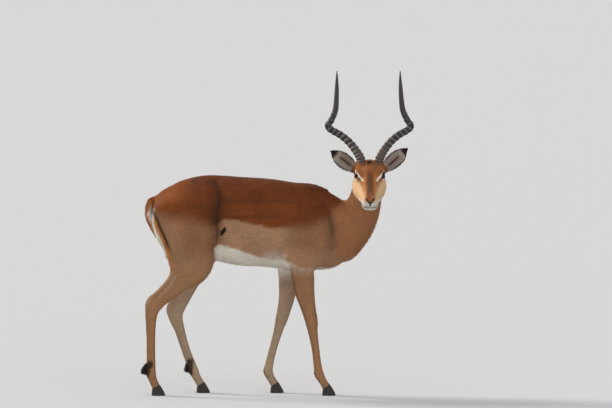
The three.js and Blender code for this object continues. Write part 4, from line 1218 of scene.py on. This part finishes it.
def hairFlow(points, normals, quads, shares):
    # The lie of the coat: back along trunk, neck and head, down the legs and tail, out along the ears.
    names, weights = shares
    flow = np.zeros_like(points)
    for column, name in enumerate(names):
        near = np.flatnonzero(weights[:, column] > 0.01)
        form, kind = groups[name][0][0], name.split("_")[0]
        if kind == "ear":
            way = np.tile(form.line, (len(near), 1))
        else:
            way = form.sections(points[near])["along"]
            way = -way if kind in ("trunk", "neck", "head") else way
        if kind == "trunk":
            way = way + [0, 0, -0.4]
        flow[near] += way * weights[near, column, None]
    for _ in range(10):
        flow = unit(flow - normals * dot(flow, normals)[:, None])
        flow = neighbourMean(flow, quads)
    return unit(flow - normals * dot(flow, normals)[:, None])


def coatMeasures(points, normals, shares):
    # Length, width, height and cover of the tufts at each point; bare at the eyes and nose.
    names, weights = shares
    w = {name: weights[:, i] for i, name in enumerate(names)}
    measures = weights @ np.array([tuftLook[name.split("_")[0]] for name in names], float)
    x, z = points[:, 0], points[:, 2]
    legs = sum(w[k + "_" + s] for k in ("hind", "fore") for s in sides)

    def towards(kind, share):
        # The measures moved towards those of a kind of tuft.
        return measures + (np.array(tuftLook[kind]) - measures) * np.clip(share, 0, 1)[:, None]

    stripe = np.interp(z, *np.array(coatLook["rumpStripe"], float).T)
    measures = towards("lowerLeg", smoothStep(540, 400, z) * legs)
    measures = towards("heel", smoothStep(0.55, 0.95, -normals[:, 0]) * legs * smoothStep(110, 180, z))
    measures = towards("foot", smoothStep(80, 60, z))
    behind = smoothStep(0, 20, stripe - x) * smoothStep(540, 600, z) * smoothStep(820, 800, z)
    measures = towards("rump", behind * (x < -400))
    measures = towards("fleck", smoothStep(1.7, 1.3, flankPatch(x, z)))
    measures = towards("belly", smoothStep(0.3, 0.8, -normals[:, 2]) * w["trunk"])
    measures = towards("throat", smoothStep(0.3, 0.9, normals[:, 0] - 0.5 * normals[:, 2]) * w["neck"])
    measures = towards("tail", smoothStep(0.3, 0.7, w["tail"]))
    f, a, n = headPlace(points).T
    measures = towards("crown", smoothStep(-15, -40, f) * smoothStep(0, 12, n) * w["head"])
    measures = towards("muzzle", smoothStep(80, 125, f) * w["head"])
    mirror = np.stack([f, np.abs(a), n], 1)
    bare = smoothStep(7, 5, nearPath(mirror, facePaths["pad"]))
    bare = np.maximum(bare, smoothStep(6.5, 4.5, nearPath(mirror, facePaths["wing"])))
    for name in sides:
        gap, far = eyeOpening(points, name)
        measures = towards("muzzle", smoothStep(12, 5, gap) * (far < 40))
        bare = np.maximum(bare, smoothStep(2.6, 1.4, gap) * (far < 40))
        ear = groups["ear_" + name][0][0]
        u, v = ear.place(points)[:2]
        inside = smoothStep(0.1, 0.5, dot(normals, ear.facing)) * w["ear_" + name]
        measures = towards("earInside", inside * smoothStep(0.3, 0.6, np.abs(v)) * smoothStep(0.8, 0.6, u))
    measures[:, 3] *= 1 - bare
    return measures


def bladeMesh(name, low, middle, tip, half, foot, tint, shade, place):
    # Blades of three triangles: two points at the root, two in the middle and a tip. Each blade's patch
    # on the OFBake map lies at its place, about 0.003 across.
    points = np.stack([low - foot * half, low + foot * half, middle - half, middle + half, tip], 1)
    first = np.arange(len(low))[:, None, None] * 5
    faces = (first + np.array([[0, 3, 1], [0, 2, 3], [2, 4, 3]])).reshape(-1, 3)
    blades = makeMesh(name, points.reshape(-1, 3), faces, tuftMaterial)
    setColour(blades, np.clip(tint[:, None] * shade, 0, 1).reshape(-1, 3))
    patch = 0.0015 * np.array([[-0.8, -1], [0.8, -1], [-1, 0], [1, 0], [0, 1]])
    spread = np.clip(place[:, None] + patch, 0, 1).reshape(-1, 2)
    layer = blades.data.uv_layers.new(name="OFBake")
    layer.data.foreach_set("uv", spread[faces.ravel()].astype(np.float32).ravel())
    return blades


def bakePlaces(roots, normals, shares):
    # Along and round the form that each root grows on, form by form up the map.
    names, weights = shares
    form = weights.argmax(1)
    place = np.zeros((len(roots), 2))
    used = np.unique(form)
    number = np.bincount(form, minlength=len(names))[used]
    tops = np.concatenate([[0], np.cumsum(number / number.sum())])
    for k, column in enumerate(used):
        own = np.flatnonzero(form == column)
        shape = groups[names[column]][0][0]
        if isinstance(shape, Ear):
            u, v = shape.place(roots[own])[:2]
            turnShare = 0.25 + 0.24 * v + 0.5 * (dot(normals[own], shape.facing) < 0)
        else:
            at = shape.sections(roots[own])
            q = roots[own] - at["centre"]
            u = at["t"] / shape.spans
            turnShare = 0.5 + np.arctan2(dot(q, at["up"]), dot(q, at["side"])) / (2 * np.pi)
        room = tops[k + 1] - tops[k]
        place[own, 0] = 0.005 + 0.99 * np.clip(u, 0, 1)
        place[own, 1] = 0.005 + 0.99 * (tops[k] + room * (0.02 + 0.96 * np.clip(turnShare, 0, 1)))
    return place


def tuftPiece(name, roots, normals, flow, measures, tint, shares, slot, nodes, random):
    # Each tuft is a bent blade that leans from its root in the skin along the lie of the coat.
    count = len(roots)
    length, width, lift = (measures[:, k] * random.uniform(0.68, 1.3, count) for k in range(3))
    turn = random.normal(0, 0.15, count) + 0.3 * hashNoise(roots, 26, 9)
    across = np.cross(normals, flow)
    way = flow * np.cos(turn)[:, None] + across * np.sin(turn)[:, None]
    across = np.cross(normals, way)
    low = roots - normals * tuftLook["sink"]
    bend = across * (length * random.normal(0, 0.06, count))[:, None]
    middle = roots + way * (0.5 * length)[:, None] + normals * (0.75 * lift)[:, None]
    tip = roots + way * length[:, None] + normals * lift[:, None] + bend
    half = across * (0.5 * width)[:, None]
    shade = np.array([0.78, 0.78, 1.0, 1.0, 1.16])[None, :, None] * random.normal(1, 0.09, (count, 1, 1))
    tufts = bladeMesh(name, low, middle, tip, half, 0.6, tint, shade, bakePlaces(roots, normals, shares))
    roundness = np.stack([-across, across, -across, across, 0 * across], 1) * 0.3
    soft = unit(normals[:, None] + roundness + way[:, None] * 0.12)
    tufts.data.normals_split_custom_set_from_vertices(soft.reshape(-1, 3).tolist())
    joinModel(tufts, slot, *nodes)
    print(name + ":", count, "tufts")


def scattered(random, density):
    # Places strewn over the skin, so many per square millimetre; gives each place's face and corner shares.
    area = np.linalg.norm(faceNormals(skinVertices, skinQuads), axis=1) / 2
    mean = area * density[skinQuads].mean(1)
    count = np.floor(mean + random.random(len(mean))).astype(int)
    face = np.repeat(np.arange(len(mean)), count)
    s, t = random.random((2, len(face)))
    corners = np.stack([(1 - s) * (1 - t), s * (1 - t), s * t, (1 - s) * t], 1)
    return face, corners


tuftMaterial = coatMaterial("tufts", 0.0003, 0.7)
random = np.random.default_rng(tuftLook["seed"])
skinFlow = hairFlow(skinVertices, skinNormals, skinQuads, skinShares)
skinMeasures = coatMeasures(skinVertices, skinNormals, skinShares)
face, corners = scattered(random, skinMeasures[:, 3] / (0.55 * skinMeasures[:, 0] * skinMeasures[:, 1]))


def atRoots(values):
    return np.einsum("nk,nkc->nc", corners, values[skinQuads[face]])


roots = atRoots(skinVertices)
rootNormals = unit(atRoots(skinNormals))
rootFlow = atRoots(skinFlow)
rootFlow = unit(rootFlow - rootNormals * dot(rootFlow, rootNormals)[:, None])
rootMeasures = atRoots(skinMeasures)
rootShares = (skinShares[0], atRoots(skinShares[1]))
rootTint = coatColour(roots, rootNormals, rootShares, random.normal(0, 2.5, len(roots)))
print("tufts: roots", len(roots))

kind = np.array([name.split("_")[0] for name in rootShares[0]])[rootShares[1].argmax(1)]
onLeft = roots[:, 1] > midY
high = roots[:, 2] > np.interp(roots[:, 0], *np.array(coatLook["saddleEdge"], float).T)
body = np.isin(kind, ["trunk", "shoulder"])
tuftPieces = [
    ("saddle_tufts", body & high, "back_coat", ["croup", "barrel", "chest"]),
    ("neck_tufts", kind == "neck", "flank_coat", ["neck_lower", "neck_upper"]),
    ("face_tufts", kind == "head", "face_coat", ["head", "lower_jaw"]),
    ("ear_tufts", kind == "ear", "ear_coat", ["ear_right", "ear_left"]),
    ("tail_tufts", kind == "tail", "tail_coat", ["tail"]),
]
for name, own in (("right", ~onLeft), ("left", onLeft)):
    hindNodes = [part + name for part in ("thigh_", "gaskin_", "hind_cannon_", "hind_pastern_")]
    foreNodes = [part + name for part in ("forearm_", "fore_cannon_", "fore_pastern_")]
    tuftPieces += [
        ("flank_tufts_" + name, body & ~high & own, "flank_coat", ["barrel", "shoulder_" + name]),
        ("hind_leg_tufts_" + name, (kind == "hind") & own, "leg_coat", hindNodes),
        ("foreleg_tufts_" + name, (kind == "fore") & own, "leg_coat", foreNodes),
    ]
for name, chosen, slot, nodes in tuftPieces:
    own = np.flatnonzero(chosen)
    if len(own) > tuftLook["most"]:
        print(name, "is thinned from", len(own))
        own = np.sort(random.choice(own, tuftLook["most"], replace=False))
    tuftPiece(
        name, roots[own], rootNormals[own], rootFlow[own], rootMeasures[own], rootTint[own],
        (rootShares[0], rootShares[1][own]), slot, nodes, random,
    )


# ---- horns: ringed tubes along a lyre-shaped path ----

hornLook = {
    "centre": 4,
    "lean": 0.018,
    "ridge": 2.5,
    "spacing": [12, 25],  # between rings, at the base and along the middle
    "ringedShare": 0.64,
    "dark": colour(26, 24, 27),
    # The pale colour is painted highlight on the crests of the rings.
    "pale": colour(140, 130, 124),
    "base": colour(88, 72, 62),
    "top": colour(66, 58, 58),
}
# Rows are across from the horns' middle plane, back from the eyes, height above them, radius.
hornRows = [
    [31, 18, 26, 20.5], [34, 22, 45, 20.5], [41, 28, 76, 19.5], [61, 46, 110, 18.4], [92, 74, 147, 17.4],
    [127, 98, 174, 16.8], [159, 112, 191, 16.2], [176, 117, 209, 15.6], [162, 121, 233, 14.5],
    [144, 123, 274, 12.6], [138, 120, 322, 10.8], [135, 110, 384, 8.0], [134, 92, 444, 2.0],
]


def closedTube(rings, sectors, count):
    # Triangles between rings of points, closed on the last two points: the foot's middle and the top's.
    r, c = np.meshgrid(np.arange(rings - 1), np.arange(sectors), indexing="ij")
    a, b = r * sectors + c, r * sectors + (c + 1) % sectors
    wall = np.stack([a, b, b + sectors, a, b + sectors, a + sectors], -1).reshape(-1, 3)
    ring = np.arange(sectors)
    following = (ring + 1) % sectors
    last = (rings - 1) * sectors
    foot = np.stack([following, ring, np.full(sectors, count - 2)], 1)
    top = np.stack([last + ring, last + following, np.full(sectors, count - 1)], 1)
    return np.vstack([wall, foot, top])


def hornMesh(side):
    # Circles along the path, sunk between the rings by the ridge, which is strongest in front and fades
    # towards the smooth tip.
    rows = np.array(hornRows, float)
    path = rows.copy()
    path[:, 0] = headOrigin[0] + hornLook["centre"] + side * rows[:, 0] - hornLook["lean"] * rows[:, 2]
    path[:, 1] = headOrigin[1] + rows[:, 1]
    path[:, 2] = headOrigin[2] + rows[:, 2]
    t = np.linspace(0, len(rows) - 1, 1600)
    fine = alongRows(path, t)
    step = np.linalg.norm(np.diff(fine[:, :3], axis=0), axis=1)
    reach = np.concatenate([[0], np.cumsum(step)])
    rings, sectors = 520, 36
    s = np.linspace(0, reach[-1], rings)
    at = np.stack([np.interp(s, reach, fine[:, k]) for k in range(4)], 1)
    share = s / reach[-1]
    along = unit(np.gradient(at[:, :3], axis=0))
    out = unit(np.cross(along, [0, 1, 0]))
    back = np.cross(out, along)
    angle = np.linspace(0, 2 * np.pi, sectors, endpoint=False)
    shareGrid, angleGrid = np.meshgrid(share, angle, indexing="ij")
    sGrid = shareGrid * reach[-1]
    near, wide = hornLook["spacing"]
    spacing = near + (wide - near) * smoothStep(0.02, 0.32, share)
    turns = np.cumsum((reach[-1] / (rings - 1)) / spacing)[:, None]
    phase = turns + 0.08 * np.sin(angleGrid + side) + 0.12 * np.sin(sGrid / 41)
    wave = phase % 1
    crest = np.sin(np.pi * np.minimum(wave / 0.55, 1)).clip(0) ** 0.8
    frontness = 0.55 - 0.45 * np.sin(angleGrid)
    strength = smoothStep(hornLook["ringedShare"] + 0.1, hornLook["ringedShare"] - 0.16, shareGrid)
    radius = at[:, 3][:, None]
    height = hornLook["ridge"] * strength * (0.45 + 0.75 * frontness)
    grooves = 0.35 * np.sin(angleGrid * 13 + 2 * np.sin(sGrid / 60)) * smoothStep(0.98, 0.7, shareGrid)
    radius = np.maximum(radius - height * (1 - crest) - 0.35 + grooves * np.minimum(1, radius / 8), 0.5)
    points = (
        at[:, None, :3]
        + out[:, None] * (np.cos(angle)[None, :, None] * radius[..., None])
        + back[:, None] * (np.sin(angle)[None, :, None] * radius[..., None])
    ).reshape(-1, 3)
    # Both ends close on their middle points.
    points = np.vstack([points, at[0, :3], at[-1, :3] + along[-1] * 0.6])
    faces = closedTube(rings, sectors, len(points))
    grain = hashNoise(points, 5, 8) * 0.5 + 0.5
    height = np.append(np.repeat(share, sectors), [0, 1])
    # Painted highlight: the crests of the rings are painted pale, most in front and where the rings are
    # strongest.
    crestHighlight = np.append((crest * strength * (0.45 + 0.55 * frontness)).ravel(), [0, 0])
    tint = np.tile(hornLook["dark"], (len(points), 1))
    tint = blendIn(tint, hornLook["top"], smoothStep(0.5, 0.72, height) * 0.8)
    tint = blendIn(tint, hornLook["pale"], crestHighlight ** 2.2 * (0.25 + 0.7 * grain) * 0.8)
    tint = blendIn(tint, hornLook["base"], smoothStep(0.30, 0.12, height) * (0.45 + 0.4 * grain))
    tint = blendIn(tint, hornLook["dark"], smoothStep(0.93, 1.0, height) * 0.6)
    return points, faces, tint


def hornyMaterial(name, scale):
    # Vertex colour with a grain in roughness and height.
    material, tree, shader = newMaterial(name, 0.42)
    link = tree.links.new
    paint = tree.nodes.new("ShaderNodeVertexColor")
    paint.layer_name = "coatColour"
    place = tree.nodes.new("ShaderNodeTexCoord")
    grain = node(tree, "ShaderNodeTexNoise", Scale=scale, Detail=5.0, Roughness=0.6)
    link(place.outputs["Object"], grain.inputs["Vector"])
    rough = node(tree, "ShaderNodeMapRange", To_Min=0.34, To_Max=0.66)
    link(grain.outputs["Fac"], rough.inputs["Value"])
    link(rough.outputs["Result"], shader.inputs["Roughness"])
    link(paint.outputs["Color"], shader.inputs["Base Color"])
    bump = node(tree, "ShaderNodeBump", Strength=0.35, Distance=0.0006)
    link(grain.outputs["Fac"], bump.inputs["Height"])
    link(bump.outputs["Normal"], shader.inputs["Normal"])
    return material


hornMaterial = hornyMaterial("horn", 420.0)
for name, side in sides.items():
    points, faces, tint = hornMesh(side)
    horn = makeMesh("horn_detail_" + name, points, faces, hornMaterial)
    setColour(horn, tint)
    joinModel(horn, "horn", "horn_" + name)
print("horns: made")


# ---- eyes: a dark ball with a clear bulge over a wide oval pupil ----

eyeSurface = {
    "iris": colour(46, 26, 16),
    "pupil": colour(6, 5, 6),
    "white": colour(60, 40, 30),
}


def eyeMesh(name):
    # A ball in the eye's own axes, a little fuller where the eye looks out, with its colours in rings.
    rings, sectors = 48, 64
    theta = np.linspace(0, np.pi, rings)
    phi = np.linspace(0, 2 * np.pi, sectors, endpoint=False)
    th, ph = np.meshgrid(theta, phi, indexing="ij")
    bulge = 0.9 * smoothStep(0.62, 0.28, th / 1.2)
    radius = eyeLook["radius"] - 0.15 + bulge
    look, length, rise = eyeAxes[name]["axes"]
    points = eyeAxes[name]["centre"] + (
        look * (np.cos(th) * radius)[..., None]
        + length * (np.sin(th) * np.cos(ph) * radius)[..., None]
        + rise * (np.sin(th) * np.sin(ph) * radius)[..., None]
    )
    u, v = np.sin(th) * np.cos(ph), np.sin(th) * np.sin(ph)
    pupil = smoothStep(1.1, 0.9, np.sqrt((u / 0.42) ** 2 + (v / 0.20) ** 2))
    iris = smoothStep(0.70, 0.62, np.hypot(u, v))
    ray = 0.85 + 0.3 * np.sin(ph * 23 + 3 * np.sin(ph * 7)) * (1 - pupil)
    tint = np.array(eyeSurface["white"]) * np.ones(u.shape + (3,))
    tint = tint + (np.array(eyeSurface["iris"]) * ray[..., None] - tint) * iris[..., None]
    tint = tint + (np.array(eyeSurface["pupil"]) - tint) * pupil[..., None]
    r, c = np.meshgrid(np.arange(rings - 1), np.arange(sectors), indexing="ij")
    a, b = r * sectors + c, r * sectors + (c + 1) % sectors
    quads = np.stack([a, a + sectors, b + sectors, b], -1).reshape(-1, 4)
    return points.reshape(-1, 3), quads, tint.reshape(-1, 3)


eyeMaterial, eyeTree, eyeShader = newMaterial("wet eye", 0.08)
eyePaint = eyeTree.nodes.new("ShaderNodeVertexColor")
eyePaint.layer_name = "coatColour"
eyeTree.links.new(eyePaint.outputs["Color"], eyeShader.inputs["Base Color"])
eyeShader.inputs["Coat Weight"].default_value = 0.3
eyeShader.inputs["Specular IOR Level"].default_value = 0.12
eyeShader.inputs["Coat Roughness"].default_value = 0.03
for name in sides:
    points, quads, tint = eyeMesh(name)
    eye = makeMesh("eye_detail_" + name, points, quads, eyeMaterial)
    setColour(eye, tint)
    joinModel(eye, "eye", "eye_" + name)
print("eyes: made")


# ---- hooves: two claws to a foot, from the flat sole up to the ankle ----

hoofLook = {
    "halfWidth": 10,
    "gap": 2.4,
    "toe": 41,
    "heel": 18,
    "front": 18,
    "back": 17,
    "ring": 0.28,  # height of the growth rings
    "dark": colour(34, 29, 27),
    "pale": colour(92, 78, 66),
}


def clawMesh(ankle, ahead, down, outer):
    # Ovals drawn out towards the toe, blended from the sole to the cut of the ankle, with growth rings.
    rings, sectors = 40, 44
    t, angle = np.meshgrid(
        np.linspace(0, 1, rings), np.linspace(0, 2 * np.pi, sectors, endpoint=False), indexing="ij"
    )
    c, s = np.cos(angle), np.sin(angle)
    toe = np.maximum(c, 0) ** 2
    flat = np.where(s < 0, -np.abs(s) ** 0.55, s)
    width = hoofLook["halfWidth"] * (1 - 0.5 * toe * (1 - t)) * (1 - 0.08 * t)
    across = outer * (hoofLook["gap"] / 2 + width * (1 + flat))
    swell = 1 + 0.05 * np.sin(np.pi * t) - 0.07 * np.exp(-((t / 0.05) ** 2))
    swell += hoofLook["ring"] / 24 * np.sin(t * 46 + 2 * c)
    far = c * np.where(c > 0, hoofLook["toe"], hoofLook["heel"]) * swell
    near = c * np.where(c > 0, hoofLook["front"], hoofLook["back"]) * swell
    low = np.stack([ankle[0] + far, ankle[1] + across, np.zeros_like(c)], -1)
    high = ankle - down * 2 + ahead * near[..., None] + np.stack([0 * c, across, 0 * c], -1)
    rise = (t ** 0.9)[..., None]
    points = (low + (high - low) * rise).reshape(-1, 3)
    points = np.vstack([points, points[:sectors].mean(0), points[-sectors:].mean(0)])
    faces = closedTube(rings, sectors, len(points))
    return points, faces if outer > 0 else faces[:, ::-1]


hoofMaterial = hornyMaterial("hoof horn", 300.0)
for name, side in sides.items():
    for limb in ("fore", "hind"):
        leg = groups[limb + "_" + name][0][0]
        ankle, down = leg.centre[-1], leg.along[-1]
        ahead = np.cross(down, leg.side[-1])
        meshes = [clawMesh(ankle, ahead, down, outer) for outer in (1, -1)]
        points = np.vstack([points for points, _ in meshes])
        faces = np.vstack([meshes[0][1], meshes[1][1] + len(meshes[0][0])])
        hoof = makeMesh("hoof_detail_" + limb + "_" + name, points, faces, hoofMaterial)
        worn = hashNoise(points, 7, 4) * 0.5 + 0.5
        band = smoothStep(9, 0, points[:, 2]) * 0.5 + 0.5 * smoothStep(0.55, 0.9, worn)
        dark = np.tile(hoofLook["dark"], (len(points), 1))
        setColour(hoof, blendIn(dark, hoofLook["pale"], band * worn * 0.7))
        joinModel(hoof, "hoof", *[limb + "_hoof_" + name + "_" + word for word in ("outer", "inner")])
print("hooves: made")


# ---- black gland hair above the hind hooves ----

def glandHair(name, side, random):
    # Hairs start all through the upper part of an oval tuft and run down and outwards along it.
    tube = Tube(bodyRows(glandLook[name], side))
    count = glandLook["tufts"]
    t = random.random(count) ** 0.8 * (len(tube.centre) - 1) * 0.72
    i, s = np.floor(t).astype(int), (t % 1)[:, None]

    def mix(rows):
        return rows[i] * (1 - s) + rows[i + 1] * s

    centre, along, sideways = mix(tube.centre), unit(mix(tube.along)), unit(mix(tube.side))
    half, depth = mix(tube.half[:, None]), mix(tube.depth[:, None])
    up = np.cross(along, sideways)
    angle, far = random.random(count) * 2 * np.pi, random.random(count)[:, None] ** 0.5
    radial = sideways * np.cos(angle)[:, None] * half + up * np.sin(angle)[:, None] * depth
    outwards = unit(radial)
    start = centre + radial * far * 0.72
    way = unit(along + outwards * 0.28 + random.normal(0, 0.12, (count, 3)))
    length = (glandLook["length"] * random.uniform(0.6, 1.15, count))[:, None]
    half = unit(np.cross(outwards, way)) * glandLook["width"] / 2
    middle = start + way * length * 0.5 + outwards * 1.6
    tip = start + way * length
    tint = blendIn(np.tile(glandLook["black"], (count, 1)), glandLook["brown"], random.random(count) ** 3)
    shade = np.array([0.8, 0.8, 1.0, 1.0, 1.25])[None, :, None]
    place = np.stack([0.01 + 0.98 * t / (len(tube.centre) - 1), 0.01 + 0.98 * angle / (2 * np.pi)], 1)
    hair = bladeMesh("gland_hair_" + name, start, middle, tip, half, 0.7, tint, shade, place)
    joinModel(hair, "gland_hair", "gland_tuft_" + name)


for name, side in sides.items():
    glandHair(name, side, np.random.default_rng(21 + side))
print("gland hair: made")


# ---- camera, floor and light ----

viewLook = {
    "target": (0.119, 0.049, 0.812),
    "distance": 18.0,
    "elevation": 3.0,
    "frameWidth": 2.601,
}
camera = bpy.data.cameras.new("camera")
camera.sensor_width = 36
camera.lens = 36 * viewLook["distance"] / viewLook["frameWidth"]
camera.clip_end = 200
cameraObject = bpy.data.objects.new("camera", camera)
tilt = math.radians(viewLook["elevation"])
target = viewLook["target"]
cameraObject.location = (
    target[0],
    target[1] - viewLook["distance"] * math.cos(tilt),
    target[2] + viewLook["distance"] * math.sin(tilt),
)
cameraObject.rotation_euler = (math.pi / 2 - tilt, 0, 0)
bpy.context.scene.collection.objects.link(cameraObject)
bpy.context.scene.camera = cameraObject

floorMesh = bpy.data.meshes.new("floor")
floorMesh.from_pydata([(-400, -400, 0), (400, -400, 0), (400, 400, 0), (-400, 400, 0)], [], [(0, 1, 2, 3)])
floorMaterial, floorTree, floorShader = newMaterial("pale floor", 0.95, (0.555, 0.568, 0.595))
floorShader.inputs["Specular IOR Level"].default_value = 0.1
floorMesh.materials.append(floorMaterial)
floor = bpy.data.objects.new("floor", floorMesh)
bpy.context.scene.collection.objects.link(floor)


def softSun(name, fromPoint, strength, spread, tint):
    # A broad soft light from far off, so the floor is lit evenly.
    light = bpy.data.lights.new(name, "SUN")
    light.energy = strength
    light.angle = math.radians(spread)
    light.color = tint
    lamp = bpy.data.objects.new(name, light)
    lamp.location = fromPoint
    x, y, z = fromPoint
    lamp.rotation_euler = (math.atan2(math.hypot(x, y), z), 0, math.atan2(x, -y))
    bpy.context.scene.collection.objects.link(lamp)


softSun("key", (-6.0, 2.6, 4.2), 2.7, 16, (1.0, 0.93, 0.82))
softSun("fill", (2.5, -6.0, 4.5), 0.45, 50, (1.0, 0.98, 0.95))
world = bpy.data.worlds.new("studio")
world.use_nodes = True
world.node_tree.nodes["Background"].inputs["Color"].default_value = (0.74, 0.74, 0.735, 1)
world.node_tree.nodes["Background"].inputs["Strength"].default_value = 0.93
bpy.context.scene.world = world
bpy.context.scene.view_settings.view_transform = "Standard"
bpy.context.view_layer.update()
